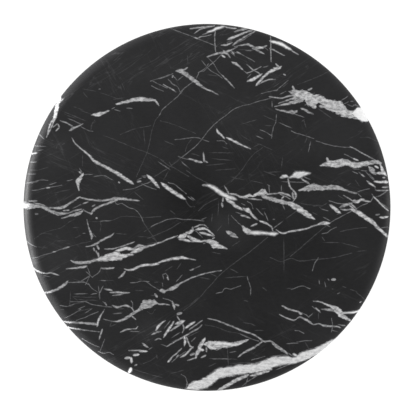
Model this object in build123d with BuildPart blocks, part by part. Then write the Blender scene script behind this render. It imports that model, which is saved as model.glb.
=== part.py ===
"""Round pedestal table: a stone top on a spider bracket, a tube column and a weighted round foot.

Millimetres, +Z up, with the origin on the floor at the middle of the foot.
Threaded pieces are plain cylinders at the thread's outer diameter.
"""

import os

from build123d import *

os.makedirs("parts", exist_ok=True)

# Driving dimensions: the whole table
TABLE_HEIGHT = 740.0
TOP_DIAMETER = 600.0
FOOT_DIAMETER = 422.0
COLUMN_DIAMETER = 76.0
FLOOR_GAP = 12.0

# Stone top and the plywood bonded under it
SLAB_THICKNESS = 20.0
EDGE_ROUND = 18.0
UNDER_ARRIS = 1.0
BACKER_DIAMETER = 430.0
BACKER_THICKNESS = 12.0
BACKER_BEVEL = 4.0

# Spider bracket: arms, hub and ribs
ARM_COUNT = 4
ARM_REACH = 156.0
ARM_THICKNESS = 8.0
ARM_ROOT_WIDTH = 46.0
ARM_TIP_WIDTH = 30.0
ARM_CORNER = 11.0
HUB_DIAMETER = 100.0
HUB_THICKNESS = 10.0
NUT_POCKET_DIAMETER = 30.0
NUT_POCKET_DEPTH = 14.0
RIB_THICKNESS = 8.0
RIB_DEPTH = 26.0
RIB_END = 98.0
CASTING_ROUND = 1.5

# M6 fixings between the spider and the plywood
SCREW_RADII = (114.0, 140.0)
SCREW_DIAMETER = 6.0
SCREW_LENGTH = 18.0
SCREW_HEAD_DIAMETER = 12.0
SCREW_HEAD_HEIGHT = 4.0
SCREW_SOCKET_ACROSS = 4.0
SCREW_SOCKET_DEPTH = 2.5
SCREW_HOLE_DIAMETER = 6.6
WASHER_DIAMETER = 14.0
WASHER_THICKNESS = 1.2
INSERT_DIAMETER = 9.0
INSERT_LENGTH = 10.0

# Column and tie rod, with the M12 nuts and washers at its ends
COLUMN_WALL = 2.0
SPIGOT_LENGTH = 24.0
ROD_DIAMETER = 12.0
ROD_HOLE_DIAMETER = 13.0
ROD_PAST_TOP_NUT = 1.0
ROD_PAST_BOTTOM_NUT = 4.0
NUT_ACROSS_FLATS = 18.0
NUT_HEIGHT = 10.0
NUT_CORNER_DROP = 0.8
TOP_WASHER_DIAMETER = 24.0
TOP_WASHER_THICKNESS = 2.5
BOTTOM_WASHER_DIAMETER = 44.0
BOTTOM_WASHER_THICKNESS = 4.0
SPRING_WASHER_DIAMETER = 21.0
SPRING_WASHER_THICKNESS = 3.0
SPRING_WASHER_SPLIT = 2.0

# Cast foot disc
DISC_THICKNESS = 20.0
LIP_HEIGHT = 6.0
LIP_ROUND = 2.0
LIP_PROUD = 1.5
DISC_SHOULDER = 9.0
SEAT_HEIGHT = 60.0
SEAT_DIAMETER = 88.0
SEAT_FLARE = 16.0
NUT_RECESS_DIAMETER = 56.0
NUT_RECESS_DEPTH = 28.0

# Spun cover over the foot disc, and the collar that holds it down
COVER_GAUGE = 1.5
COVER_FIT = 1.4
COVER_SHOULDER_HEIGHT = 44.0
COVER_SHOULDER_ROUND = 22.0
COVER_CONE_RISE = 22.0
COVER_FLARE_ROUND = 60.0
COVER_NECK_DIAMETER = 88.0
COVER_NECK_TOP = 128.0
COLLAR_DIAMETER = 94.0
COLLAR_HEIGHT = 12.0
COLLAR_ROUND = 3.0
COLLAR_LIP_HEIGHT = 8.0
GRUB_COUNT = 2
GRUB_DIAMETER = 5.0
GRUB_LENGTH = 7.0
GRUB_SOCKET_ACROSS = 2.5
GRUB_SOCKET_DEPTH = 3.0

# Levellers: M10 stems in the foot disc, on swivelling floor pads
LEVELLER_COUNT = 4
LEVELLER_RADIUS = 165.0
LEVELLER_START_ANGLE = 45.0
STEM_DIAMETER = 10.0
STEM_LENGTH = 24.0
STEM_BORE_DEPTH = 28.0
BOSS_DIAMETER = 26.0
BOSS_WALL = 3.0
STEM_HEX_ACROSS = 17.0
STEM_HEX_HEIGHT = 4.0
STEM_NECK_DIAMETER = 12.0
STEM_FLANGE_DIAMETER = 20.0
STEM_FLANGE_THICKNESS = 3.0
PAD_DIAMETER = 34.0
PAD_TOP_DIAMETER = 28.0
PAD_HEIGHT = 7.5
PAD_SOLE = 2.6
PAD_ROUND = 1.0
SWIVEL_CLEARANCE = 0.25

# Clearances between turned or threaded pieces, on the radius
FIT_CLEARANCE = 0.1
THREAD_CLEARANCE = 0.05

# Heights worked out from the dimensions above
slab_bottom = TABLE_HEIGHT - SLAB_THICKNESS
backer_bottom = slab_bottom - BACKER_THICKNESS
arm_bottom = backer_bottom - ARM_THICKNESS
column_top = backer_bottom - HUB_THICKNESS
screw_seat = arm_bottom - WASHER_THICKNESS
pocket_floor = backer_bottom - NUT_POCKET_DEPTH
top_nut_bottom = pocket_floor + TOP_WASHER_THICKNESS
rod_top = top_nut_bottom + NUT_HEIGHT + ROD_PAST_TOP_NUT
recess_roof = FLOOR_GAP + NUT_RECESS_DEPTH
spring_washer_top = recess_roof - BOTTOM_WASHER_THICKNESS
bottom_nut_top = spring_washer_top - SPRING_WASHER_THICKNESS
rod_bottom = bottom_nut_top - NUT_HEIGHT - ROD_PAST_BOTTOM_NUT
lip_top = FLOOR_GAP + LIP_HEIGHT
disc_top = FLOOR_GAP + DISC_THICKNESS
boss_top = FLOOR_GAP + STEM_BORE_DEPTH + BOSS_WALL
hex_bottom = FLOOR_GAP - STEM_HEX_HEIGHT

# Radii worked out from the dimensions above
column_radius = COLUMN_DIAMETER / 2
column_bore_radius = column_radius - COLUMN_WALL
spigot_radius = column_bore_radius - FIT_CLEARANCE
cover_radius = FOOT_DIAMETER / 2 - LIP_PROUD
disc_radius = cover_radius - COVER_GAUGE - COVER_FIT
cover_neck_bore_radius = COVER_NECK_DIAMETER / 2 - COVER_GAUGE

SIT = (Align.CENTER, Align.CENTER, Align.MIN)


def hexagon_corner(across_flats):
    """Distance from a hexagon's middle to its corners."""
    return across_flats / 3**0.5


def export(builder, name):
    """Labels a finished piece and writes it to its own file."""
    builder.part.label = name
    export_step(builder.part, f"parts/{name}.step")
    print(name, round(builder.part.volume), "mm3 in", len(builder.part.solids()), "solids")


# Stone slab: a disc with a half bullnose above and a broken arris below
with BuildPart(Plane.XY.offset(slab_bottom)) as marble_top:
    Cylinder(TOP_DIAMETER / 2, SLAB_THICKNESS, align=SIT)
    fillet(marble_top.edges().sort_by(Axis.Z)[-1], EDGE_ROUND)
    fillet(marble_top.edges().sort_by(Axis.Z)[0], UNDER_ARRIS)
export(marble_top, "marble_top")

# Plywood disc under the slab, bevelled to stay out of sight, with blind holes for the inserts
with BuildPart(Plane.XY.offset(backer_bottom)) as plywood_backer:
    Cylinder(BACKER_DIAMETER / 2, BACKER_THICKNESS, align=SIT)
    chamfer(plywood_backer.edges().sort_by(Axis.Z)[0], BACKER_BEVEL)
    with BuildSketch(Plane.XY.offset(backer_bottom)):
        for radius in SCREW_RADII:
            with PolarLocations(radius, ARM_COUNT):
                Circle(INSERT_DIAMETER / 2)
    extrude(amount=INSERT_LENGTH, mode=Mode.SUBTRACT)
export(plywood_backer, "plywood_backer")

# Brass inserts, one in each hole of the plywood
with BuildPart() as threaded_inserts:
    with BuildSketch(Plane.XY.offset(backer_bottom)):
        for radius in SCREW_RADII:
            with PolarLocations(radius, ARM_COUNT):
                Circle(INSERT_DIAMETER / 2)
                Circle(SCREW_DIAMETER / 2, mode=Mode.SUBTRACT)
    extrude(amount=INSERT_LENGTH)
export(threaded_inserts, "threaded_inserts")

# Cast spider: tapered arms on a hub, a spigot inside the column, and a rib under each arm
with BuildPart() as spider_bracket:
    with BuildSketch(Plane.XY.offset(arm_bottom)) as arm_outline:
        with PolarLocations(0, ARM_COUNT):
            Polygon(
                (0, -ARM_ROOT_WIDTH / 2),
                (ARM_REACH, -ARM_TIP_WIDTH / 2),
                (ARM_REACH, ARM_TIP_WIDTH / 2),
                (0, ARM_ROOT_WIDTH / 2),
                align=None,
            )
        tips = arm_outline.vertices().filter_by(lambda v: max(abs(v.X), abs(v.Y)) > ARM_REACH - 1)
        fillet(tips, ARM_CORNER)
        for radius in SCREW_RADII:
            with PolarLocations(radius, ARM_COUNT):
                Circle(SCREW_HOLE_DIAMETER / 2, mode=Mode.SUBTRACT)
    extrude(amount=ARM_THICKNESS)
    with BuildSketch(Plane.XY.offset(column_top)):
        Circle(HUB_DIAMETER / 2)
    extrude(amount=HUB_THICKNESS)
    fillet(spider_bracket.faces().sort_by(Axis.Z)[0].outer_wire().edges(), CASTING_ROUND)
    with BuildSketch(*[Plane.XZ.rotated((0, 0, 360 / ARM_COUNT * i)) for i in range(ARM_COUNT)]):
        Polygon(
            (column_radius + COLUMN_WALL, column_top),
            (column_radius + COLUMN_WALL, column_top - RIB_DEPTH),
            (RIB_END, arm_bottom),
            (RIB_END, arm_bottom + ARM_THICKNESS / 2),
            (column_radius + COLUMN_WALL, arm_bottom + ARM_THICKNESS / 2),
            align=None,
        )
    extrude(amount=RIB_THICKNESS / 2, both=True)
    with BuildSketch(Plane.XY.offset(column_top)):
        Circle(spigot_radius)
    extrude(amount=-SPIGOT_LENGTH)
    with BuildSketch(Plane.XY.offset(backer_bottom)):
        Circle(NUT_POCKET_DIAMETER / 2)
    extrude(amount=-NUT_POCKET_DEPTH, mode=Mode.SUBTRACT)
    with BuildSketch(Plane.XY.offset(backer_bottom)):
        Circle(ROD_HOLE_DIAMETER / 2)
    extrude(amount=-HUB_THICKNESS - SPIGOT_LENGTH, mode=Mode.SUBTRACT)
export(spider_bracket, "spider_bracket")

# Button-headed screws, from below through the arms into the inserts
with BuildPart() as spider_screws:
    with BuildSketch(Plane.XY.offset(screw_seat)):
        for radius in SCREW_RADII:
            with PolarLocations(radius, ARM_COUNT):
                Circle(SCREW_HEAD_DIAMETER / 2)
    extrude(amount=-SCREW_HEAD_HEIGHT)
    head_bottoms = spider_screws.edges().group_by(Axis.Z)[0]
    fillet(head_bottoms, SCREW_HEAD_HEIGHT / 2)
    with BuildSketch(Plane.XY.offset(screw_seat - SCREW_HEAD_HEIGHT)):
        for radius in SCREW_RADII:
            with PolarLocations(radius, ARM_COUNT):
                RegularPolygon(hexagon_corner(SCREW_SOCKET_ACROSS), 6)
    extrude(amount=SCREW_SOCKET_DEPTH, mode=Mode.SUBTRACT)
    with BuildSketch(Plane.XY.offset(screw_seat)):
        for radius in SCREW_RADII:
            with PolarLocations(radius, ARM_COUNT):
                Circle(SCREW_DIAMETER / 2 - THREAD_CLEARANCE)
    extrude(amount=SCREW_LENGTH)
export(spider_screws, "spider_screws")

# Flat washers between the screw heads and the arms
with BuildPart() as spider_washers:
    with BuildSketch(Plane.XY.offset(screw_seat)):
        for radius in SCREW_RADII:
            with PolarLocations(radius, ARM_COUNT):
                Circle(WASHER_DIAMETER / 2)
                Circle(SCREW_HOLE_DIAMETER / 2, mode=Mode.SUBTRACT)
    extrude(amount=WASHER_THICKNESS)
export(spider_washers, "spider_washers")

# Column: a plain tube between the foot's seat and the spider's hub
with BuildPart() as column_tube:
    with BuildSketch(Plane.XY.offset(SEAT_HEIGHT)):
        Circle(column_radius)
        Circle(column_bore_radius, mode=Mode.SUBTRACT)
    extrude(amount=column_top - SEAT_HEIGHT)
export(column_tube, "column_tube")

# Tie rod down the middle of the column
with BuildPart(Plane.XY.offset(rod_bottom)) as tie_rod:
    Cylinder(ROD_DIAMETER / 2, rod_top - rod_bottom, align=SIT)
    chamfer(tie_rod.edges().filter_by(GeomType.CIRCLE), ROD_PAST_TOP_NUT)
export(tie_rod, "tie_rod")


def make_washer(height, diameter, thickness):
    """A flat ring round the tie rod, standing at that height."""
    with BuildPart() as washer:
        with BuildSketch(Plane.XY.offset(height)):
            Circle(diameter / 2)
            Circle(ROD_HOLE_DIAMETER / 2, mode=Mode.SUBTRACT)
        extrude(amount=thickness)
    return washer


def make_nut(height):
    """A hexagon nut on the tie rod, with its corners turned off above and below."""
    corner = hexagon_corner(NUT_ACROSS_FLATS)
    with BuildPart(Plane.XY.offset(height)) as nut:
        Cylinder(corner, NUT_HEIGHT, align=SIT)
        chamfer(nut.edges().filter_by(GeomType.CIRCLE), NUT_CORNER_DROP, corner - NUT_ACROSS_FLATS / 2)
        with BuildSketch(Plane.XY.offset(height)):
            RegularPolygon(corner, 6)
        extrude(amount=NUT_HEIGHT, mode=Mode.INTERSECT)
        with BuildSketch(Plane.XY.offset(height)):
            Circle(ROD_DIAMETER / 2 + THREAD_CLEARANCE)
        extrude(amount=NUT_HEIGHT, mode=Mode.SUBTRACT)
    return nut


rod_top_washer = make_washer(pocket_floor, TOP_WASHER_DIAMETER, TOP_WASHER_THICKNESS)
export(rod_top_washer, "rod_top_washer")
rod_top_nut = make_nut(top_nut_bottom)
export(rod_top_nut, "rod_top_nut")
rod_bottom_washer = make_washer(spring_washer_top, BOTTOM_WASHER_DIAMETER, BOTTOM_WASHER_THICKNESS)
export(rod_bottom_washer, "rod_bottom_washer")
rod_bottom_nut = make_nut(bottom_nut_top - NUT_HEIGHT)
export(rod_bottom_nut, "rod_bottom_nut")

# Split spring washer between the lower nut and its flat washer
with BuildPart() as rod_spring_washer:
    with BuildSketch(Plane.XY.offset(bottom_nut_top)):
        Circle(SPRING_WASHER_DIAMETER / 2)
        Circle(ROD_HOLE_DIAMETER / 2, mode=Mode.SUBTRACT)
        Rectangle(
            SPRING_WASHER_DIAMETER,
            SPRING_WASHER_SPLIT,
            align=(Align.MIN, Align.CENTER),
            mode=Mode.SUBTRACT,
        )
    extrude(amount=SPRING_WASHER_THICKNESS)
export(rod_spring_washer, "rod_spring_washer")

# Cast foot disc: a lip that carries the cover, a seat and spigot for the column, and leveller bosses
with BuildPart() as base_weight:
    with BuildSketch(Plane.XZ) as disc_profile:
        with BuildLine():
            Polyline(
                (0, FLOOR_GAP),
                (FOOT_DIAMETER / 2, FLOOR_GAP),
                (FOOT_DIAMETER / 2, lip_top),
                (disc_radius, lip_top),
                (disc_radius, disc_top - DISC_SHOULDER),
                (disc_radius - DISC_SHOULDER, disc_top),
                (SEAT_DIAMETER / 2 + SEAT_FLARE, disc_top),
                (SEAT_DIAMETER / 2, disc_top + SEAT_FLARE),
                (SEAT_DIAMETER / 2, SEAT_HEIGHT),
                (spigot_radius, SEAT_HEIGHT),
                (spigot_radius, SEAT_HEIGHT + SPIGOT_LENGTH),
                (0, SEAT_HEIGHT + SPIGOT_LENGTH),
                close=True,
            )
        make_face()
        fillet(disc_profile.vertices().group_by(Axis.X)[-1], LIP_ROUND)
    revolve(axis=Axis.Z)
    with BuildSketch(Plane.XY.offset(FLOOR_GAP)):
        with PolarLocations(LEVELLER_RADIUS, LEVELLER_COUNT, LEVELLER_START_ANGLE):
            Circle(BOSS_DIAMETER / 2)
    extrude(amount=boss_top - FLOOR_GAP)
    with BuildSketch(Plane.XY.offset(FLOOR_GAP)):
        with PolarLocations(LEVELLER_RADIUS, LEVELLER_COUNT, LEVELLER_START_ANGLE):
            Circle(STEM_DIAMETER / 2 + THREAD_CLEARANCE)
    extrude(amount=STEM_BORE_DEPTH, mode=Mode.SUBTRACT)
    with BuildSketch(Plane.XY.offset(FLOOR_GAP)):
        Circle(NUT_RECESS_DIAMETER / 2)
    extrude(amount=NUT_RECESS_DEPTH, mode=Mode.SUBTRACT)
    with BuildSketch(Plane.XY.offset(FLOOR_GAP)):
        Circle(ROD_HOLE_DIAMETER / 2)
    extrude(amount=SEAT_HEIGHT + SPIGOT_LENGTH - FLOOR_GAP, mode=Mode.SUBTRACT)
export(base_weight, "base_weight")

# Spun cover: a skirt on the lip, a rounded shoulder, a shallow cone and a flare into the neck
with BuildPart() as base_cover:
    with BuildSketch(Plane.XZ):
        with BuildLine():
            FilletPolyline(
                (cover_radius, lip_top),
                (cover_radius, COVER_SHOULDER_HEIGHT),
                (COVER_NECK_DIAMETER / 2, COVER_SHOULDER_HEIGHT + COVER_CONE_RISE),
                (COVER_NECK_DIAMETER / 2, COVER_NECK_TOP),
                radius=[COVER_SHOULDER_ROUND, COVER_FLARE_ROUND],
            )
            offset(amount=COVER_GAUGE, side=Side.LEFT)
        make_face()
    revolve(axis=Axis.Z)
export(base_cover, "base_cover")

# Collar: a ring on the column with a lip inside the cover's neck, and a hole for each grub screw
with BuildPart() as cover_collar:
    with BuildSketch(Plane.XZ) as collar_profile:
        with BuildLine():
            Polyline(
                (column_radius + FIT_CLEARANCE, COVER_NECK_TOP - COLLAR_LIP_HEIGHT),
                (cover_neck_bore_radius - FIT_CLEARANCE, COVER_NECK_TOP - COLLAR_LIP_HEIGHT),
                (cover_neck_bore_radius - FIT_CLEARANCE, COVER_NECK_TOP),
                (COLLAR_DIAMETER / 2, COVER_NECK_TOP),
                (COLLAR_DIAMETER / 2, COVER_NECK_TOP + COLLAR_HEIGHT),
                (column_radius + FIT_CLEARANCE, COVER_NECK_TOP + COLLAR_HEIGHT),
                close=True,
            )
        make_face()
        fillet(collar_profile.vertices().group_by(Axis.X)[-1].sort_by(Axis.Z)[-1], COLLAR_ROUND)
    revolve(axis=Axis.Z)
    with BuildSketch(Plane.YZ):
        with Locations((0, COVER_NECK_TOP + COLLAR_HEIGHT / 2)):
            Circle(GRUB_DIAMETER / 2 + THREAD_CLEARANCE)
    extrude(amount=COLLAR_DIAMETER, both=True, mode=Mode.SUBTRACT)
export(cover_collar, "cover_collar")

# Socket set screws that pinch the collar to the column
with BuildPart() as collar_grub_screws:
    grub_planes = [Plane.YZ.rotated((0, 0, 360 / GRUB_COUNT * i)) for i in range(GRUB_COUNT)]
    grub_start = column_radius + FIT_CLEARANCE
    with BuildSketch(*[plane.offset(grub_start) for plane in grub_planes]):
        with Locations((0, COVER_NECK_TOP + COLLAR_HEIGHT / 2)):
            Circle(GRUB_DIAMETER / 2)
    extrude(amount=GRUB_LENGTH)
    with BuildSketch(*[plane.offset(grub_start + GRUB_LENGTH) for plane in grub_planes]):
        with Locations((0, COVER_NECK_TOP + COLLAR_HEIGHT / 2)):
            RegularPolygon(hexagon_corner(GRUB_SOCKET_ACROSS), 6)
    extrude(amount=-GRUB_SOCKET_DEPTH, mode=Mode.SUBTRACT)
export(collar_grub_screws, "collar_grub_screws")


def make_stem(place):
    """A leveller's stem: thread, hexagon collar against the foot, neck, and the flange held in the pad."""
    flange_bottom = PAD_SOLE + SWIVEL_CLEARANCE
    neck_bottom = flange_bottom + STEM_FLANGE_THICKNESS
    with BuildPart() as stem:
        with BuildSketch(Plane.XY.offset(flange_bottom)):
            with Locations(place):
                Circle(STEM_FLANGE_DIAMETER / 2)
        extrude(amount=STEM_FLANGE_THICKNESS)
        with BuildSketch(Plane.XY.offset(neck_bottom)):
            with Locations(place):
                Circle(STEM_NECK_DIAMETER / 2)
        extrude(amount=hex_bottom - neck_bottom)
        with BuildSketch(Plane.XY.offset(hex_bottom)):
            with Locations(place):
                RegularPolygon(hexagon_corner(STEM_HEX_ACROSS), 6)
        extrude(amount=STEM_HEX_HEIGHT)
        with BuildSketch(Plane.XY.offset(FLOOR_GAP)):
            with Locations(place):
                Circle(STEM_DIAMETER / 2)
        extrude(amount=STEM_LENGTH)
        chamfer(stem.edges().sort_by(Axis.Z)[-1], ROD_PAST_TOP_NUT)
    return stem


def make_pad(place):
    """A leveller's floor pad: a tapered puck with a socket that keeps the stem's flange."""
    socket_height = STEM_FLANGE_THICKNESS + 2 * SWIVEL_CLEARANCE
    with BuildPart() as pad:
        with BuildSketch():
            with Locations(place):
                Circle(PAD_DIAMETER / 2)
        with BuildSketch(Plane.XY.offset(PAD_HEIGHT)):
            with Locations(place):
                Circle(PAD_TOP_DIAMETER / 2)
        loft()
        fillet(pad.edges().filter_by(GeomType.CIRCLE), PAD_ROUND)
        with BuildSketch(Plane.XY.offset(PAD_SOLE)):
            with Locations(place):
                Circle(STEM_FLANGE_DIAMETER / 2 + SWIVEL_CLEARANCE)
        extrude(amount=socket_height, mode=Mode.SUBTRACT)
        with BuildSketch(Plane.XY.offset(PAD_SOLE)):
            with Locations(place):
                Circle(STEM_NECK_DIAMETER / 2 + SWIVEL_CLEARANCE)
        extrude(amount=PAD_HEIGHT - PAD_SOLE, mode=Mode.SUBTRACT)
    return pad


# Four levellers, numbered anticlockwise from the one towards +X and +Y
for number, place in enumerate(PolarLocations(LEVELLER_RADIUS, LEVELLER_COUNT, LEVELLER_START_ANGLE), 1):
    export(make_stem(place), f"leveller_stem_{number}")
    export(make_pad(place), f"leveller_pad_{number}")
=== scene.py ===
# %% [markdown]
# # A round pedestal table with a veined black marble top
# The photograph looks straight down on the table, so the stone is nearly all of the picture. This lesson
# dresses the table's CAD model: a new stone top carries the veins, the screws get real threads, and every
# piece gets a finish worked out by nodes. All lengths are in metres unless a name says otherwise.

# %% Load the CAD model as a fixed frame
import math

import bpy
import numpy as np
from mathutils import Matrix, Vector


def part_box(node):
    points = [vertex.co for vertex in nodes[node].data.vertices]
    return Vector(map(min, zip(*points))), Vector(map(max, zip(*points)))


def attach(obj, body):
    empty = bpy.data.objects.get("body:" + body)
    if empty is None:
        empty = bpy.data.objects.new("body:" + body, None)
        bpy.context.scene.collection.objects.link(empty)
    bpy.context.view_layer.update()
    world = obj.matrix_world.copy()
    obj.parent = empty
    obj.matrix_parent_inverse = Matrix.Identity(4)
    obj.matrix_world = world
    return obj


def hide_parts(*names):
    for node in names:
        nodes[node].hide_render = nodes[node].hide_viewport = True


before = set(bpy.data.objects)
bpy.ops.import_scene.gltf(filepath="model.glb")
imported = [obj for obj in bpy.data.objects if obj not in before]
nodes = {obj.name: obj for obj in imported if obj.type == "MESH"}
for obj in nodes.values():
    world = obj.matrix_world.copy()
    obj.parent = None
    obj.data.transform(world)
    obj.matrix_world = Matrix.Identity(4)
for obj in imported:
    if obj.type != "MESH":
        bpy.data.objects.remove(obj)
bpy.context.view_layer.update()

# %% [markdown]
# ## Measures shared by the camera and the stone
# The top's size comes from the frame. Its middle and its radius in the photograph, in pixels of the
# 414 by 414 picture, tie the two together: one pixel is a little over a millimetre and a half of stone.

# %% From photograph to stone
PHOTO_SIDE = 414
PHOTO_CENTRE = (206.5, 206.9)
PHOTO_RADIUS = 183.5
EDGE_ROUND = 0.018
UNDER_ARRIS = 0.001
MILLIMETRES = 1000

top_low, top_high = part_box("marble_top")
TOP_RADIUS = top_high.x
TOP_FACE = top_high.z
TOP_UNDERSIDE = top_low.z
PIXEL = TOP_RADIUS / PHOTO_RADIUS
print("stone radius", round(TOP_RADIUS, 4), "one pixel is", round(PIXEL * MILLIMETRES, 3), "mm")

# %% [markdown]
# ## Camera
# The picture has no perspective on the rim, so the camera hangs high over the table, looking straight
# down with +Y at the top of the picture. Its lens follows from the height and the stone's radius.

# %% Hang the camera
CAMERA_HEIGHT = 3.2
SENSOR_WIDTH = 0.036

rim_height = TOP_FACE - EDGE_ROUND
FACE_PIXEL = PIXEL * (CAMERA_HEIGHT - EDGE_ROUND) / CAMERA_HEIGHT
picture_width = PHOTO_SIDE * PIXEL
picture_middle = (PHOTO_SIDE - 1) / 2


def placed(name, data):
    """A new object that holds some data, linked to the scene."""
    item = bpy.data.objects.new(name, data)
    bpy.context.scene.collection.objects.link(item)
    return item


camera_data = bpy.data.cameras.new("camera")
camera_data.sensor_width = SENSOR_WIDTH * MILLIMETRES
camera_data.lens = SENSOR_WIDTH * MILLIMETRES * CAMERA_HEIGHT / picture_width
camera = placed("camera", camera_data)
camera.location = (
    (picture_middle - PHOTO_CENTRE[0]) * PIXEL,
    (PHOTO_CENTRE[1] - picture_middle) * PIXEL,
    rim_height + CAMERA_HEIGHT,
)
bpy.context.scene.camera = camera
print("lens", round(camera_data.lens, 1), "mm, camera at", [round(value, 4) for value in camera.location])

# %% [markdown]
# ## Shader helpers
# A finish is a chain of small nodes. One helper adds a node, sets its options and fills its inputs in
# order, so that a material reads like a list of steps. The others name the nodes that come up again and
# again: mathematics, noise, ranges, colour ramps and a place that is turned and stretched.

# %% Node helpers
def step(tree, kind, *inputs, **options):
    """Adds one shader node; each input is a socket to link, a value to set, or None to leave alone."""
    node = tree.nodes.new("ShaderNode" + kind)
    for option, value in options.items():
        setattr(node, option, value)
    for socket, value in zip(node.inputs, inputs):
        if isinstance(value, bpy.types.NodeSocket):
            tree.links.new(value, socket)
        elif value is not None:
            socket.default_value = value
    return node


def maths(tree, operation, *inputs):
    """One Math node: its operation on up to three numbers."""
    return step(tree, "Math", *inputs, operation=operation).outputs[0]


def vectors(tree, operation, *inputs, output=0):
    """One Vector Math node: its operation on up to three vectors."""
    return step(tree, "VectorMath", *inputs, operation=operation).outputs[output]


def height_of(tree, vector):
    """The third coordinate of a vector: how high a place is, or how far a normal points up."""
    return step(tree, "SeparateXYZ", vector).outputs[2]


def stretched(tree, place, scale, turn=0.0, kind="POINT"):
    """A place turned about the upright axis, in radians, and scaled along each axis."""
    return step(tree, "Mapping", place, None, (0.0, 0.0, turn), scale, vector_type=kind).outputs[0]


def noise(tree, place, scale, detail=3.0, roughness=0.55, flat=False, output=0):
    """A noise's grey value at a place, or its colour; flat noise ignores the third coordinate."""
    node = step(tree, "TexNoise", noise_dimensions="2D" if flat else "3D")
    tree.links.new(place, node.inputs["Vector"])
    node.inputs["Scale"].default_value = scale
    node.inputs["Detail"].default_value = detail
    node.inputs["Roughness"].default_value = roughness
    return node.outputs[output]


print("node helpers ready")

# %% Ranges and colours
NOISE_RANGE = (0.3, 0.7)
MIX_INPUTS_BEFORE_COLOURS = (None,) * 5
MIX_COLOUR_OUTPUT = 2


def spread(tree, value, low, high, to_low=0.0, to_high=1.0):
    """Maps a number from low..high to to_low..to_high and holds it there."""
    return step(tree, "MapRange", value, low, high, to_low, to_high, clamp=True).outputs[0]


def vary(tree, value, to_low=0.0, to_high=1.0):
    """Maps the range that most of a noise lies in to to_low..to_high."""
    return spread(tree, value, *NOISE_RANGE, to_low, to_high)


def shade(tree, factor, *stops):
    """A colour ramp: each stop is its place from 0 to 1 and a linear red, green and blue."""
    node = step(tree, "ValToRGB", factor)
    ramp = node.color_ramp
    for _ in stops[2:]:
        ramp.elements.new(0.5)
    for element, (position, red, green, blue) in zip(ramp.elements, stops):
        element.position = position
        element.color = (red, green, blue, 1.0)
    return node.outputs[0]


def mixed(tree, share, first, second):
    """The first colour where share is zero, the second where it is one."""
    node = step(tree, "Mix", share, *MIX_INPUTS_BEFORE_COLOURS, first, second, data_type="RGBA")
    return node.outputs[MIX_COLOUR_OUTPUT]


print("range and colour helpers ready")

# %% Material helpers
def bare_material(name):
    """A material whose node tree is still empty."""
    material = bpy.data.materials.new(name)
    material.use_nodes = True
    material.node_tree.nodes.clear()
    return material, material.node_tree


def show_on_surface(tree, shader):
    """Links a shader to the material's output."""
    tree.links.new(shader.outputs[0], step(tree, "OutputMaterial").inputs["Surface"])


def new_finish(name):
    """An empty material with its surface shader and the Object coordinates."""
    material, tree = bare_material(name)
    shader = step(tree, "BsdfPrincipled")
    show_on_surface(tree, shader)
    place = step(tree, "TexCoord").outputs["Object"]
    return material, tree, shader, place


def coat(tree, shader, colour, roughness):
    """Links a finish's colour and roughness to its shader."""
    tree.links.new(colour, shader.inputs["Base Color"])
    tree.links.new(roughness, shader.inputs["Roughness"])


def emboss(tree, shader, height, depth):
    """Turns a height field into bump on a shader; depth is the height's real size."""
    node = step(tree, "Bump")
    node.inputs["Distance"].default_value = depth
    tree.links.new(height, node.inputs["Height"])
    tree.links.new(node.outputs[0], shader.inputs["Normal"])


print("material helpers ready")

# %% [markdown]
# ## Mesh helpers
# Most pieces of a turned table are surfaces of revolution. A profile of radius and height, carried round
# the axis as one numpy array, gives the whole grid of points at once. Radius zero at either end closes
# the surface in a pole.

# %% Surfaces of revolution
SHARP_ABOVE = 35


def angles_round(columns):
    """Evenly spaced angles, once round."""
    return np.linspace(0, 2 * np.pi, columns, endpoint=False)


def arc(centre, radius, start, stop, steps):
    """Points on a circle: centre + radius * (cos a, sin a), with a from start to stop in degrees."""
    angle = np.radians(np.linspace(start, stop, steps))
    return np.column_stack((centre[0] + radius * np.cos(angle), centre[1] + radius * np.sin(angle)))


def closed_grid(name, x, y, z, sharp_above):
    """A mesh from rows of points: row i, column j joins the next row and, round the axis, the next column.

    The first and the last row shrink to poles, so each is one vertex with a fan of triangles.
    """
    rows, columns = x.shape
    ring = np.arange(columns)
    after = np.roll(ring, -1)
    body = np.stack((x, y, z), axis=-1)[1:-1].reshape(-1, 3)
    poles = np.array([(x[0, 0], y[0, 0], z[0, 0]), (x[-1, 0], y[-1, 0], z[-1, 0])])
    points = np.vstack((body, poles))
    first_pole = len(body)
    last_ring = (rows - 3) * columns
    base = (np.arange(rows - 3) * columns)[:, None]
    quads = np.stack((base + ring, base + after, base + columns + after, base + columns + ring), axis=-1)
    low_fan = np.column_stack((after, ring, np.full(columns, first_pole)))
    high_fan = np.column_stack((last_ring + ring, last_ring + after, np.full(columns, first_pole + 1)))
    faces = quads.reshape(-1, 4).tolist() + low_fan.tolist() + high_fan.tolist()
    mesh = bpy.data.meshes.new(name)
    mesh.from_pydata(points.tolist(), [], faces)
    mesh.shade_smooth()
    mesh.set_sharp_from_angle(angle=math.radians(sharp_above))
    print(name, len(points), "points,", len(faces), "faces")
    return placed(name, mesh)


def turned(name, profile, columns):
    """A profile of (radius, height) carried round Z: x = r cos t, y = r sin t, from the low pole up."""
    angle = angles_round(columns)
    radius = profile[:, 0][:, None]
    height = np.repeat(profile[:, 1][:, None], columns, axis=1)
    return closed_grid(name, radius * np.cos(angle), radius * np.sin(angle), height, SHARP_ABOVE)


def finish_piece(piece, material, body, node):
    """Gives a new piece its material and its body, and hides the CAD node that it stands for."""
    piece.data.materials.append(material)
    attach(piece, body)
    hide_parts(node)


print("mesh helpers ready")
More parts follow.
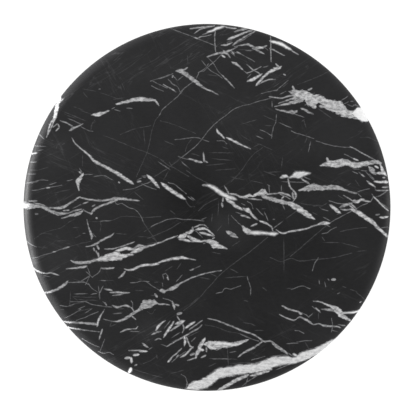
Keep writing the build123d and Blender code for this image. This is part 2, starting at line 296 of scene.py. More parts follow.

# %% [markdown]
# ## How a vein is drawn
# Calcite veins are cracks that filled with white crystal. A random pattern would give some marble, but not
# this slab, so each vein is laid along a few points read off the photograph: x to the right, y down, and the
# vein's width, all in pixels. A straight line from the first point to the last is the vein's own axis. Along
# it, one curve gives the middle of the vein and another half its width, and the node chain answers how deep
# a place lies inside the vein, in pixels, with negative numbers outside. A vein of only two points is a
# straight spindle, which needs no curves. The greatest depth over all veins of one whiteness is that layer's
# field.

# %% A vein's axes and curves
def vein_axes(tree, place, vein):
    """Places along (u) and across (v) the straight line from a vein's first point to its last.

    A place is (x, y, 1), so one dot product with (direction, -offset) turns, shifts and projects it.
    """
    points = np.array(vein, float)
    reach = points[-1, :2] - points[0, :2]
    along = reach / np.linalg.norm(reach)
    across = np.array((-along[1], along[0]))
    middle = (points[0, :2] + points[-1, :2]) / 2
    sockets = []
    for direction in (along, across):
        offset = float(middle @ direction)
        sockets.append(vectors(tree, "DOT_PRODUCT", place, (*direction, -offset), output="Value"))
    offsets = points[:, :2] - middle
    return sockets, offsets @ along, offsets @ across, points[:, 2]


def vein_curve(tree, along, positions, values):
    """A curve node through the given points, smooth and without overshoot."""
    node = step(tree, "FloatCurve", 1.0, along)
    mapping = node.mapping
    mapping.use_clip = False
    mapping.extend = "HORIZONTAL"
    curve = mapping.curves[0]
    for _ in positions[2:]:
        curve.points.new(0.0, 0.0)
    for point, position, value in zip(curve.points, positions, values):
        point.location = (position, value)
        point.handle_type = "AUTO_CLAMPED"
    mapping.update()
    return node.outputs[0]


print("vein axes and curves ready")

# %% Depth inside one vein
OUTSIDE = -1.5
END_TAPER = 1.4
SHORTEST_TAPER = 0.5


def spindle_depth(tree, place, vein):
    """Depth inside a straight, pointed vein: half its width * (1 - (u / half its length) ** 4) - |v|."""
    (u_here, v_here), u, _, widths = vein_axes(tree, place, vein)
    half_width = float(widths[0]) / 2
    share = maths(tree, "MULTIPLY", u_here, 1 / float(u[-1]))
    square = maths(tree, "MULTIPLY", share, share)
    here = maths(tree, "MULTIPLY_ADD", maths(tree, "MULTIPLY", square, square), -half_width, half_width)
    return maths(tree, "SUBTRACT", here, maths(tree, "ABSOLUTE", v_here))


def vein_depth(tree, place, swell, vein):
    """Depth inside a bent vein: swell * half its width at u, less the distance |v - middle(u)|.

    The swell is a noise a little under one, so that a broad vein is ragged and a fine one only uneven.
    """
    if len(vein) == 2:
        return spindle_depth(tree, place, vein)
    (u_here, v_here), u, v, widths = vein_axes(tree, place, vein)
    if np.any(np.diff(u) <= 0):
        raise ValueError(f"a vein turns back on itself: {vein}")
    taper = widths * END_TAPER + SHORTEST_TAPER
    u_ends = np.concatenate(([u[0] - taper[0]], u, [u[-1] + taper[-1]]))
    half_widths = np.concatenate(([OUTSIDE], widths / 2, [OUTSIDE]))
    middle = vein_curve(tree, u_here, u, v)
    half_width = vein_curve(tree, u_here, u_ends, half_widths)
    aside = maths(tree, "ABSOLUTE", maths(tree, "SUBTRACT", v_here, middle))
    return maths(tree, "SUBTRACT", maths(tree, "MULTIPLY", half_width, swell), aside)


print("vein depths ready")

# %% Layers of veins
BUNCH = 24


def vein_bunch(name, veins):
    """A node group that gives the greatest depth over a few veins at a place in photograph pixels."""
    tree = bpy.data.node_groups.new(name, "ShaderNodeTree")
    tree.interface.new_socket("Place", in_out="INPUT", socket_type="NodeSocketVector")
    tree.interface.new_socket("Swell", in_out="INPUT", socket_type="NodeSocketFloat")
    tree.interface.new_socket("Depth", in_out="OUTPUT", socket_type="NodeSocketFloat")
    place, swell = tree.nodes.new("NodeGroupInput").outputs[:2]
    depth = vein_depth(tree, place, swell, veins[0])
    for vein in veins[1:]:
        depth = maths(tree, "MAXIMUM", depth, vein_depth(tree, place, swell, vein))
    tree.links.new(depth, tree.nodes.new("NodeGroupOutput").inputs[0])
    return tree


def vein_layer(tree, place, swell, name, veins):
    """The greatest depth over a whole list of veins, gathered bunch by bunch."""
    depth = None
    for first in range(0, len(veins), BUNCH):
        group = step(tree, "Group", node_tree=vein_bunch(name, veins[first : first + BUNCH]))
        tree.links.new(place, group.inputs[0])
        tree.links.new(swell, group.inputs[1])
        here = group.outputs[0]
        depth = here if depth is None else maths(tree, "MAXIMUM", depth, here)
    print(name, len(veins), "veins")
    return depth


def lines(width, *paths):
    """Gives every point of some plain lines the same width."""
    return [[(x, y, width) for x, y in path] for path in paths]


print("a layer takes", BUNCH, "veins to a node group")

# %% [markdown]
# ## The brightest veins
# Where the crack opened wide, the calcite is thick and nearly as white as paper: the long river near the
# south rim, the end of the north-east patch, and a few knots between them.

# %% Milk-white veins
MILK_VEINS = [
    # the river along the south rim
    [
        (187, 389, 2), (190, 387, 8), (200, 384.6, 12.5), (208, 380.8, 12), (214, 376, 11.4),
        (220, 372.4, 11.4), (228, 371, 11.4), (240, 369, 11), (250, 368, 11), (258, 367, 11),
        (264, 365.3, 12), (268, 363.8, 13), (272, 361.8, 12), (277, 360.8, 11.6), (282, 360, 10.8),
        (288, 359.5, 10), (293, 359.9, 8), (296.5, 359.6, 8), (300, 357.2, 10.5), (306, 355.2, 11.2),
        (317, 351.3, 10.4), (330, 345.3, 10), (334, 343, 8),
    ],
    # the middle and the knot right of it
    [
        (250, 232, 3), (257, 232.4, 4.8), (262, 232.5, 4), (268, 233, 3.6), (273, 233.6, 4.4),
        (277, 233.2, 1.5),
    ],
    [
        (207, 184.5, 2), (211, 186, 4), (217, 190, 5), (223, 194, 5), (228, 196.5, 4.8), (233, 198, 4),
        (236, 199, 1),
    ],
    [
        (289, 177, 1.5), (292, 175.7, 3.5), (295, 174.4, 7.3), (298, 174.4, 8.4), (302, 173.6, 6.5),
        (306, 172.8, 4), (310, 172.7, 1),
    ],
    # the knot in the south
    [(214, 344.5, 2.5), (222, 343, 5), (231, 344.3, 2.5)],
]
CHALK_VEINS = [
    # the rim end of the north-east patch
    [(352, 113, 3), (356, 113, 11), (360, 113.4, 15), (366, 113.5, 18), (371, 113, 18)],
    # the north rim
    [(207, 31.5, 1.5), (212, 30.3, 2.6), (216, 28, 3.5), (220, 27, 3), (224, 26, 2)],
    [(271, 41, 2.5), (276, 42, 3.5), (282, 44, 4.2), (287, 47, 3.7), (291, 49.3, 1.5)],
    # the south-east rim
    [(342, 312.5, 1.8), (349, 312.2, 2.4), (356, 312, 3), (363, 311, 3)],
    # the south-west rim
    [(129, 374, 3.2), (131, 367, 3.2)],
]
print(len(MILK_VEINS), "milk-white veins,", len(CHALK_VEINS), "chalk-white ends at the rim")

# %% [markdown]
# ## White veins
# The next layer is the slab's main net: clear white, a few millimetres wide, often swelling into a patch
# and thinning to a thread at both ends.

# %% White veins
WHITE_VEINS = [
    # north-west
    [(60.5, 97.5, 1.8), (57.5, 103.5, 3.8), (55.7, 111, 4.2), (54, 118, 3.8)],
    [(63.5, 98, 1.2), (57, 104.5, 1.2)],
    [
        (116, 103.5, 1.5), (120, 102.5, 3), (127, 101, 3.5), (132, 99.5, 4), (139, 98.5, 5),
        (146, 99.3, 4), (152, 99.3, 3.2), (156, 101, 2.5), (158.5, 105, 1),
    ],
    [(92, 114.5, 2), (96, 114.3, 4.5), (100, 113.5, 4), (104, 112, 3), (108, 110.3, 1.5)],
    [
        (71.5, 137.5, 0.9), (74, 142, 1.2), (79, 147, 1.5), (84.5, 151.5, 2), (90, 156, 2.6),
        (93, 160, 3.2), (100, 163.8, 3), (108, 168, 3.4), (116, 172.5, 3.8), (124, 177.5, 4),
        (130, 181.5, 3.2), (133, 183.5, 1),
    ],
    # west
    [(82.5, 173.5, 2), (80, 177, 4.5), (77.5, 181, 5.5), (77.5, 185, 3), (78.5, 190, 1)],
    [
        (98, 259, 4), (101, 258, 5.5), (105, 257.7, 7.5), (110, 256.5, 9), (114, 255.2, 9.5),
        (118, 255.5, 11), (121, 256, 6),
    ],
    [(117, 250, 3), (121, 249, 4), (125, 247.8, 3.5), (130, 248.5, 3), (136, 249, 2)],
    [(119, 257, 7), (123, 255.5, 5), (128, 254.5, 3), (133, 254, 1)],
    [
        (131, 252, 2), (135, 250.8, 4.5), (139, 248.8, 5), (143, 247, 3.5), (147, 246, 2.2),
        (154, 244, 1.8), (162, 241, 1.5), (169, 238, 1.5), (177, 235.3, 1),
    ],
    [
        (124, 268.5, 1), (128, 269.5, 2.2), (132, 269, 2.8), (138, 266.2, 3), (144, 264.7, 2.8),
        (151, 264.2, 2.8), (156, 263.5, 2.8), (158.5, 263.5, 1),
    ],
    [
        (158.5, 262, 1.8), (162, 261, 2.5), (168, 259, 2.8), (175, 258, 3.2), (182, 257, 3.5),
        (187, 257.8, 1.8), (195, 259.5, 0.8),
    ],
    [(118, 277.3, 1), (121.5, 275, 2.2), (124.5, 271, 1.2)],
    # south-west
    [(98.5, 318, 2), (97.5, 322, 2.6), (96.5, 325.5, 1.5)],
    [(139, 351, 1.5), (143, 350.7, 2.8), (147, 351, 0.8)], [(132, 354.6, 2.8), (139, 354, 2.8)],
    [(123.5, 357.8, 2.8), (130.5, 357, 2.8)], [(130.5, 356, 2.6), (131.2, 363, 2.6)],
    # south
    [
        (206, 343.5, 5), (209, 345, 9.5), (214, 345, 10), (222, 344.5, 7.5), (229, 344.3, 5.5),
        (236, 343.3, 5), (242, 341.3, 3.5), (248, 339, 1),
    ],
    [
        (204, 338.5, 2.5), (202, 342, 4.5), (199.5, 346, 4), (198.3, 350, 5), (196, 354, 3),
        (195, 357.5, 1.2),
    ],
    [(197, 349, 3), (204, 349.6, 3)],
    [(163, 337, 1), (165.5, 332.8, 2.6), (168.3, 329, 3), (171, 325, 2.5), (173, 321.5, 1.5)],
    [(156, 329, 2), (158, 326, 3), (161, 322.7, 2), (165, 320, 0.8)],
    [(176, 323.3, 2.5), (179.5, 322, 4.5), (182, 321, 3.5)],
    [(185, 328, 1.3), (189, 324.6, 2.8), (194.5, 321, 0.9)],
    [(184, 337, 2.5), (184.5, 341, 2.8), (184, 345.5, 1)],
    [(192, 346.8, 1.8), (189, 350, 2), (186, 353, 2.2), (180, 356.8, 1)],
    [(168.5, 360.5, 2.5), (171, 357, 1.6), (176, 353, 1.3), (181, 348, 1)],
    [(221, 389.5, 4.5), (226, 386, 4.8), (230, 383, 4.6), (237, 379.2, 4.2), (247, 375, 2.6)],
    [(250, 375.2, 1.5), (258, 373.3, 3), (268, 370.6, 2)],
    [(190, 388.4, 2), (197, 388.6, 3), (203, 388.4, 2)], [(292, 353, 2.5), (297, 355.5, 2.5)],
    # middle
    [(147, 175, 2), (150, 177.5, 3.6), (153.5, 181.5, 4), (157, 185.3, 2.8), (159, 187.5, 0.8)],
    [
        (161.5, 183, 2.5), (164, 185, 4), (170, 189.3, 4.3), (176, 193.3, 4.3), (181, 196.7, 4),
        (184.5, 198.7, 1.5),
    ],
    [(226, 198.5, 2.5), (231, 202, 4), (236, 206, 3.6), (242, 209.3, 1.3)],
    [
        (244, 208.7, 3), (247, 209.3, 5), (249.5, 211.5, 3.5), (251.5, 214.5, 2.8), (254, 217, 2),
        (257, 219.5, 0.8),
    ],
    [
        (230, 193.3, 1.5), (235, 194, 2), (241, 196.5, 2.2), (246, 196.2, 4), (249.5, 194.8, 3),
        (252, 195.5, 1.5),
    ],
    [(252, 196, 1.5), (257, 193.5, 4), (262, 191.7, 6.5), (265, 191, 5.5), (266.5, 193, 2)],
    [
        (287.5, 202.3, 3), (290, 203.2, 5.2), (296, 206.9, 6.2), (302, 210.8, 6.2), (308, 214.8, 5.6),
        (311.5, 217, 3), (314.5, 218.7, 0.8),
    ],
    [(242, 226, 2), (244.5, 229.5, 5.5), (248, 231.5, 5.5), (252, 232.5, 4)],
    [(260, 221, 2.2), (264, 222, 2.6), (268, 224.3, 2), (271, 227, 1.8), (272.5, 230.5, 0.8)],
    [
        (276, 229.5, 1.2), (279, 231.7, 2), (283, 232.7, 2), (290, 231, 2), (297, 229.8, 2.2),
        (305, 228.3, 1.8), (312, 226, 1.5), (318, 224, 1.5),
    ],
    [(317.5, 224, 1.5), (321, 222.8, 3.6), (325, 222.5, 4), (329, 222.7, 1.5)],
    [(178.5, 236.8, 2.5), (181.5, 235.5, 5.8), (184.5, 234.6, 5), (185.8, 234.2, 2.5)],
    [(179.3, 238.7, 2), (183, 239, 2.4), (187, 240, 2.2), (190, 241, 1.1)],
    [(185.5, 232.2, 1.5), (188.5, 232.3, 4.2), (191, 231, 4), (193, 229.8, 1.4)],
    [(187, 235.5, 1.5), (189.5, 236.8, 3.5), (192.5, 238.7, 4.2), (196, 239.7, 3.6), (200, 240.8, 2)],
    [
        (191, 241, 1), (198, 241, 1.6), (204, 240.5, 2.4), (208, 240.7, 4.2), (211, 242.4, 6.6),
        (214, 244, 8.4), (217, 244.8, 7), (220, 246, 5), (223, 247.2, 2.8), (227, 248.3, 0.6),
    ],
    [
        (195.5, 229, 1.5), (199, 228.2, 3.6), (203, 228.2, 3.4), (206, 228.8, 2.2), (209.5, 231.3, 2),
        (213.7, 235, 0.8),
    ],
    [(200, 232, 2), (203, 232.5, 2.8), (207.5, 234.1, 2.2), (213.5, 235.5, 0.8)],
    # north
    [
        (255.5, 85, 1), (259, 81, 2.8), (262, 77.5, 2.8), (265.5, 74.3, 3), (270, 71, 3.5),
        (275, 68.7, 4), (279, 67.2, 3.2),
    ],
    [(247.5, 80.5, 2), (252, 79, 3.5), (257, 76.3, 3), (261.5, 73.3, 1)],
    [(232, 62, 2), (235.5, 63.3, 2.8), (239, 66, 2), (242.5, 69.3, 0.8)],
    [(228, 38.7, 2.2), (233, 36.8, 2.8), (239, 34.2, 2.2), (246, 31.7, 2), (253, 30, 1.2)],
    [(226, 137, 1.5), (230, 139, 2.5), (236, 142, 2.7), (242, 144.8, 2), (250, 148.5, 0.8)],
    [(216.3, 128.5, 1), (217.5, 131.5, 2.4), (220.5, 134.5, 2.4), (224, 138, 1.2)],
    [(190, 28.4, 1.2), (200, 27, 1.8), (213, 25.6, 1.6)],
    [(225, 26.2, 1.4), (230, 27.6, 2), (236, 27.8, 1.4)], [(221, 54.5, 2), (225, 57, 2)],
    [(257.5, 46.5, 2), (263.5, 47.3, 2)], [(272.5, 67, 1.8), (278, 69.5, 1.8)],
    # north-east
    [
        (303, 95, 11), (305.5, 95.3, 10.5), (308, 97.5, 13), (311, 99.5, 15), (314, 100.2, 14.5),
        (317, 99.4, 11.3), (320, 99, 9), (323, 101, 9), (327, 103.5, 11), (331, 104.9, 12.3),
        (335, 105.9, 13.2), (339, 107.6, 14.7), (342.5, 110, 12), (346, 113, 9), (350, 113.8, 9),
        (355, 113.2, 10.5),
    ],
    [(321, 105.8, 2.5), (326, 106.8, 3.4), (331, 109.5, 2)], [(312.5, 107, 3), (315.5, 104.5, 3)],
    [(291.5, 111.3, 2), (296, 112, 2)],
    # east
    [
        (320, 165, 1.5), (324, 164, 4), (328, 163.2, 7), (333, 163.5, 8), (339, 162.8, 8.5),
        (345, 162, 7.5), (351, 163.8, 6.5), (357, 164.5, 6.5), (363, 163.6, 5.5), (367, 163, 5),
    ],
    [(380, 163, 1.5), (381.5, 167.5, 3), (383, 171.5, 5), (387, 175, 2)],
    [(376.5, 172.5, 2), (380, 172.8, 3.5), (384, 172.5, 3)],
    [(280, 177, 1.5), (283, 176, 4.4), (286, 175.5, 3.4), (288, 176.3, 1.3)],
    [
        (351, 209, 2), (356, 211, 4.3), (362, 214.8, 5), (368, 219, 5), (373, 222.5, 4.6),
        (376, 226, 3.8), (380, 229.5, 3.4), (388, 236.3, 3),
    ],
    [(329.5, 204.5, 1.5), (333.5, 207.7, 4.2), (336.5, 210, 4), (340, 212.5, 1.2)],
    [(354, 200, 2.5), (357, 201.3, 4), (361, 199, 2.2), (364, 199, 1)],
    [(366.5, 180.3, 1), (370, 183, 2.4), (374.5, 186.3, 1.4)],
    [(374, 181, 1.5), (379, 181.6, 3), (384, 181.5, 3.2), (388.5, 182, 2)],
    [(380.3, 216.7, 2), (384.5, 217, 2.5), (389, 216.3, 1)],
    [(373, 196, 1.2), (378, 201, 1.8), (383, 206, 1.8), (388.5, 210.5, 1.2)],
    [(332, 165.8, 1.6), (337, 166, 2.4), (342, 164, 2), (348, 162.8, 2), (355, 162.3, 1.4)],
    [(374, 165, 2.2), (378.5, 168, 2.2)], [(352.5, 158, 1.6), (358, 160, 1.6)],
    # south-east
    [
        (313, 300.5, 1), (320, 301.5, 1.5), (326, 304, 2), (332, 306.5, 3.5), (336, 309, 7),
        (339, 312, 7), (343, 316, 5), (348, 319, 3), (351, 321, 1.5),
    ],
]
print(len(WHITE_VEINS), "white veins")

# %% [markdown]
# ## Pale grey veins
# Thinner fillings let the black stone show through, so they read as pale grey. They branch off the white
# net and carry it on.

# %% Pale veins
PALE_VEINS = [
    # west fork
    [
        (22, 206, 8), (28, 205.5, 7), (34, 205.5, 5), (41, 206.3, 3), (47, 207.3, 2.2), (55, 207.3, 2.4),
        (61, 207.3, 3.6), (66, 205, 3), (71, 201.5, 2.4), (79.5, 196.3, 1),
    ],
    [
        (42, 207.5, 2), (48, 209.7, 3.5), (54, 212, 4), (60, 213.3, 3.2), (66, 212.7, 2), (73, 210.7, 2),
        (81, 208.5, 1.3),
    ],
    [(61, 217.8, 1), (66, 216.5, 1.8), (72, 214.7, 3), (78, 213, 4), (82.5, 210.3, 1.5)],
    [(83, 209, 1.3), (87, 211.7, 1.4), (91.5, 212.8, 1.2)],
    [
        (90.5, 213.5, 2), (93, 209.8, 3), (97, 207, 2.6), (105, 203.5, 2.5), (112, 201.3, 2.2),
        (117, 199.5, 1.5),
    ],
    [
        (80, 197, 1.2), (88, 199, 2), (96, 199.8, 2.2), (106, 199.6, 2.2), (114, 198.3, 3.6),
        (122, 198.3, 3), (130, 199.3, 2), (139, 200.3, 0.8),
    ],
    [(33, 202.3, 1), (40, 203.7, 1.4), (46, 206, 1)], [(82, 203.2, 1.5), (88.5, 201.3, 1.5)],
    # north-west
    [(54.2, 117.5, 3.5), (52.8, 121.5, 2.2), (51, 127, 1.8), (48, 132, 1.8), (46, 137, 0.8)],
    [(52.5, 119, 2), (50, 123, 2), (48.5, 128, 2), (47, 133, 1.2)],
    [(69.5, 129.7, 1.6), (72.5, 127.8, 3), (75.5, 126.7, 1.6), (79, 125.3, 1.8), (82.5, 123.3, 0.8)],
    [(60, 120.3, 1.2), (66, 122.3, 1.5), (71.5, 125.5, 1.2)], [(30.5, 154, 1.8), (37, 152.5, 1.8)],
    [(176, 70.5, 2), (180, 70, 3.5), (184, 69, 2.5), (187, 67, 1)],
    [
        (179, 70.5, 3), (184, 73, 4.5), (190, 77.5, 4.5), (196, 81.5, 4), (200, 85.3, 3),
        (205, 88.2, 2.2), (212, 91.2, 1.6), (218, 94.3, 0.8),
    ],
    [(163, 84, 1), (169, 87.3, 1.3), (175.5, 91.3, 1)], [(52, 127, 1.4), (57, 123, 1.4)],
    [(57, 123, 1.4), (59, 127, 1.4)], [(55, 131, 1.4), (59, 127, 1.4)],
    # west
    [(86.5, 219, 0.8), (88, 226, 1.4), (90, 232, 2.6), (91.3, 236, 3), (91, 239, 0.6)],
    [
        (85.5, 246.3, 1), (91, 245.3, 1.6), (95.5, 243.5, 2.6), (100, 240.3, 2.2), (105, 238, 2.2),
        (110, 235.5, 2), (113.5, 232.5, 0.8),
    ],
    [(92.8, 247, 2), (94.2, 251, 2)], [(96, 244, 2.2), (98.7, 249.3, 2.2)],
    [(95.3, 250, 1.3), (96.7, 253, 1.3)], [(97, 251.5, 2), (98.5, 256.5, 2)],
    [(61, 248.5, 1.5), (69.5, 246.2, 1.5)],
    [(70, 260, 1), (74, 261.7, 2.4), (80, 262.2, 3.4), (88, 261.6, 3.4), (94, 260, 3.4), (100, 258, 4)],
    [(66, 268.3, 1), (74, 267.6, 2), (82, 266.7, 2.8), (86, 265.5, 1.5)],
    [(104, 248.3, 1), (114, 248, 1.5), (120, 246.2, 1.6), (127, 243.9, 1.6), (134, 241.3, 0.8)],
    [(134, 247, 1.5), (139, 245, 3), (142, 245.3, 2.5), (145, 246, 1)],
    [(100, 267.8, 1), (106, 268, 2), (111, 267.8, 2.2), (113.5, 267.3, 1)],
    [(33, 268.5, 2), (40, 272, 2.2), (45, 273, 1.6), (51, 272.5, 2), (58.5, 274.7, 0.8)],
    [(166.5, 276, 1.8), (168, 280, 1.8)], [(154, 293, 2.4), (157, 297, 2.4)],
    [(104, 301.5, 1.6), (106.5, 305, 1.6)], [(52, 251.5, 1.4), (55.5, 251, 1.4)],
    [(95, 217, 2), (97, 218.5, 2)], [(171.5, 77.5, 1.6), (172.5, 74.5, 1.6)],
    [(155, 100.5, 2), (158.5, 104.5, 2)], [(117.5, 181, 1.8), (119.5, 182.5, 1.8)],
    [(136, 181.5, 2), (141, 180.5, 2)], [(78.5, 171, 2), (81, 173, 2)],
    [(28, 200.6, 1.6), (37, 200.4, 1.6)], [(34.5, 214, 1.6), (38, 213.2, 1.6)],
    [(45, 187.6, 1.6), (50, 187, 1.6)], [(62, 210.3, 1.6), (69, 209.5, 1.6)],
    [(91, 206, 1.6), (95, 204, 1.6)], [(73, 216, 1.6), (79, 213, 1.6)], [(92, 200, 1.6), (99, 200, 1.6)],
    # south-west
    [
        (45, 293.3, 2.2), (50, 291.3, 2.6), (56, 289, 2.8), (61, 286.3, 3.5), (65, 283, 3),
        (67.5, 280.5, 1.1),
    ],
    [(64, 322, 1.8), (72, 322.2, 2.4), (80, 322.3, 2.4), (88, 322.8, 2.6), (95, 323.7, 2.6)],
    [(104, 288.3, 1.3), (108, 288.8, 2.3), (111.5, 289.8, 1.3)],
    [(110, 292, 1.5), (117, 291.8, 2.2), (124, 292.2, 1.8), (129, 292, 1)],
    [(111.5, 294.9, 1.3), (122.5, 293.8, 1.3)], [(104, 309, 0.8), (101, 313.5, 1.6), (98.5, 319, 2.2)],
    [(69, 328, 2), (77, 328.6, 2), (84, 329.6, 1.4), (90, 330.3, 1), (99, 331.3, 0.7)],
    [(101.8, 329.3, 1.8), (100.3, 333.5, 2), (98.5, 339, 0.8)],
    [(112, 304.8, 1), (116, 306.7, 2.4), (120, 306, 2), (125, 305, 2.6), (130, 306.8, 1.3)],
    [
        (103, 318.5, 0.8), (110, 320.3, 1), (116, 321, 1.7), (120, 320.3, 3), (126, 317.3, 3.3),
        (130, 314.6, 3.3), (134, 312, 3.2), (138, 309.8, 4), (141, 306.5, 6.5), (144.5, 304, 10.5),
        (148.5, 303.4, 9.5), (152, 302.2, 7.5), (156, 302, 4), (159, 303.7, 2.2), (164, 303.6, 1.8),
        (169, 304.5, 0.8),
    ],
    [(130.5, 314.5, 1.6), (135.5, 319.5, 1.6)], [(130, 306.3, 1), (132, 308.5, 1.5), (133.5, 311.5, 1.5)],
    [(120, 331.7, 1), (126, 329, 2), (131, 328.5, 1.6), (135.5, 328, 1.6), (137.3, 325.8, 1)],
    [(142, 343, 1.3), (145, 345, 2.5), (148, 346.8, 1)],
    [(128, 350.3, 1), (134, 350, 1.5), (140, 349.8, 1.5)], [(84, 322.5, 2.4), (95, 324, 2.4)],
    # south
    [
        (159, 290.5, 1), (162.5, 290.5, 5), (166, 290, 2), (171, 288.2, 3.8), (175, 286.3, 3.8),
        (180, 283, 2), (186, 279.7, 1.7), (192, 277, 1.5), (200, 274.3, 1.5), (210, 271.8, 1.2),
        (221, 270, 0.9),
    ],
    [(172, 301.5, 1.8), (173.3, 305, 2.6), (174, 308.5, 1.2)], [(174, 303.8, 1.8), (179, 305.2, 1.8)],
    [(176, 313.9, 2.6), (182, 312.3, 2.6)], [(176.3, 315, 1.2), (179.7, 320.5, 1.2)],
    [(180, 324, 2), (175, 327, 2.2), (170, 330.3, 1)],
    [(182.3, 324, 1.4), (183.3, 328, 1.6), (182, 332, 1)],
    [(189, 329, 1), (196, 324, 1.4), (202, 320, 0.8)],
    [
        (166.5, 346, 1), (172, 342.6, 1.5), (178, 339, 1.8), (184, 335.7, 1.8), (190, 332.3, 1.5),
        (197, 328.3, 1.4), (201.5, 324.5, 0.8),
    ],
    [(186, 337, 1.6), (188, 342, 1.8), (189.7, 345.3, 2), (192.5, 347, 1.4)],
    [(187, 360, 0.8), (191, 358.6, 1.8), (195.5, 356.8, 1.3)], [(189, 354.5, 2.2), (195, 352.8, 2.2)],
    [(205.4, 345.5, 1.7), (206.4, 352, 1.7)], [(151, 334.3, 1), (156, 331.7, 2.4), (160.5, 331, 1)],
    [(154.5, 339.7, 1), (158, 338, 1.8), (160.5, 338.8, 1)],
    [
        (207, 318, 0.8), (214, 319.4, 1.2), (224, 323, 1.7), (234, 327, 1.8), (244, 331, 1.8),
        (251, 333.3, 1.6), (256, 335.8, 1.5), (261.5, 339.3, 1.5),
    ],
    [(237.5, 356.5, 0.8), (243, 352.5, 2), (249, 349.3, 2.4), (255, 346, 2.2), (261.5, 341.3, 1.3)],
    [
        (260.5, 339.3, 1.6), (265, 341, 2), (270.5, 341, 2), (274, 344.2, 3.3), (278, 347, 3.5),
        (282, 349.7, 3.5), (285, 351.7, 2.6), (287.5, 353.7, 0.8),
    ],
    [(224, 388, 1.6), (230, 386, 1.6)], [(200, 357.5, 1.6), (206, 354.5, 1.6)],
    [(157.5, 328, 1.6), (160, 323.5, 1.6)], [(175.5, 357.5, 1.6), (178.5, 354, 1.6)],
    [(133.5, 365.3, 1.6), (137, 363.8, 1.6)],
    # middle
    [(188.5, 158.3, 1), (193, 159.5, 2.2), (197, 161, 2.6), (201, 161.8, 2)],
    [(203, 151.5, 1.7), (203.8, 162, 1.7)], [(203, 159.5, 1.5), (207.5, 162, 1.5)],
    [(201.5, 184.5, 2), (207.5, 185.3, 2)], [(224, 185.5, 0.8), (226, 188.7, 1.4), (228.3, 193, 1.6)],
    [(222.6, 196, 1.6), (222.3, 201.5, 1.6)], [(221.2, 201.5, 2.2), (222.4, 207, 2.2)],
    [(247, 198, 1), (254, 198.6, 1.5), (261, 199.5, 1)],
    [
        (262, 195.2, 3), (267, 197.3, 4.6), (272, 198.6, 4.6), (278, 200.5, 4.6), (284, 202.1, 4.2),
        (289, 202.7, 3.5),
    ],
    [(267, 194, 2), (276, 192.9, 1.6), (282, 192.6, 2.2), (287, 194.2, 2), (291, 196.3, 1)],
    [(279.5, 193.8, 1), (285, 195.7, 1.4), (289.5, 198.5, 1)],
    [(240, 214.8, 1), (245, 215.8, 2), (249.5, 217.7, 1)], [(252, 213.5, 1.3), (258, 220, 1.3)],
    [(226, 231, 1.5), (231, 233.7, 5), (237, 237, 1.5)],
    [(193.5, 226.7, 1), (197, 225.6, 1.5), (200.5, 224.2, 1.5), (204, 224.8, 1.3), (207.5, 227.3, 1)],
    [(192, 226, 2), (192.3, 230, 2)], [(211.5, 238.3, 1.5), (214.5, 236.8, 1.5)],
    [
        (287.6, 177, 1), (288.2, 182, 2), (290, 187, 2), (293, 190.3, 2), (295, 193.5, 2.6),
        (295.3, 196.5, 2.6), (294, 199, 2), (292.3, 201, 1),
    ],
    [(292, 191, 2), (293, 199, 2)], [(181, 239.3, 1.6), (190, 241.5, 1.6)],
    [(189.5, 270, 1.6), (194, 268, 1.6)], [(250, 226, 2), (257, 223, 2)],
    [(281, 198.5, 1.6), (284, 195, 1.6)],
    # north
    [(206.5, 56.3, 1), (213, 54, 2), (219, 52.5, 2.6), (226, 51.2, 3), (231, 49.5, 1.8), (237, 46, 1)],
    [(224.5, 51.5, 3), (227, 53.5, 2), (230, 57.3, 0.6)],
    [(214.8, 29, 1.3), (214.2, 38, 1.3), (214.6, 45, 1.2), (215.2, 51, 1)],
    [(193.8, 33, 0.9), (197, 30.5, 1.3), (202, 28, 1.6), (208, 26.5, 2), (213.5, 25.5, 2)],
    [(194, 37, 1), (197.3, 37.5, 2.6), (201, 36, 1.3), (206, 35.3, 1), (210.5, 34.3, 0.8)],
    [(202, 34, 0.8), (207, 32.2, 1.4), (212, 30.3, 1.4)],
    [(221, 44.7, 1.2), (226, 44.3, 2.2), (231.5, 42, 1.2)],
    [(232.5, 44.3, 1.8), (238, 40.2, 2.2), (243, 37, 1.8), (249, 33.7, 1.6), (256, 30.8, 1)],
    [(234.5, 31.2, 1.5), (240, 29.5, 2.6), (245, 28.3, 2.6), (249.5, 27.3, 1.5)],
    [
        (234, 46, 1), (240, 45, 1.4), (246, 44, 2.2), (251, 45.5, 3), (255.5, 47.3, 3), (260.5, 47, 2.8),
        (266, 45.3, 1.3),
    ],
    [(252, 47.8, 1.6), (257, 50, 2.2), (263.5, 53.3, 1)], [(290.5, 49.8, 1.6), (299, 54.5, 1.6)],
    [(271, 36, 1), (270.2, 48, 1.4), (270.7, 61, 1)], [(270, 48.3, 1.8), (276, 51, 1.6), (284, 55, 0.8)],
    [(274.7, 62.8, 1.8), (279, 66.8, 1.8)],
    [(258, 83.7, 1.2), (263, 81, 1.6), (268, 79.2, 1.5), (275, 79, 0.8)],
    [(246.5, 64, 0.8), (252, 69, 1.4), (259, 73, 1)], [(246, 72.7, 1), (253, 70, 1.5), (260.5, 66.3, 1)],
    [(222, 75, 1), (227, 80, 1.8), (234, 87.5, 0.8)], [(230.5, 50.2, 1.6), (234, 54, 1.6)],
    [(236, 51, 1.6), (241, 53.5, 1.6)], [(282.5, 73.5, 1.6), (285.5, 75, 1.6)],
    [(240, 29.5, 1.6), (245, 29.5, 1.6)],
    # north-east
    [(274, 106, 0.8), (280, 104.8, 1.5), (287, 103.2, 3), (294, 101.5, 4), (300, 99.5, 5)],
    [(278, 103, 0.8), (285, 100.5, 1.6), (292, 98, 2.8), (297, 96.3, 4)],
    [(275, 108.5, 0.8), (282, 110.4, 1.8), (288, 111.2, 3), (293, 111.8, 4), (296.5, 110.3, 1)],
    [(291, 91.5, 4), (294, 92, 8), (297.5, 94.5, 12.8), (301, 95.2, 13), (305, 95, 10.5)],
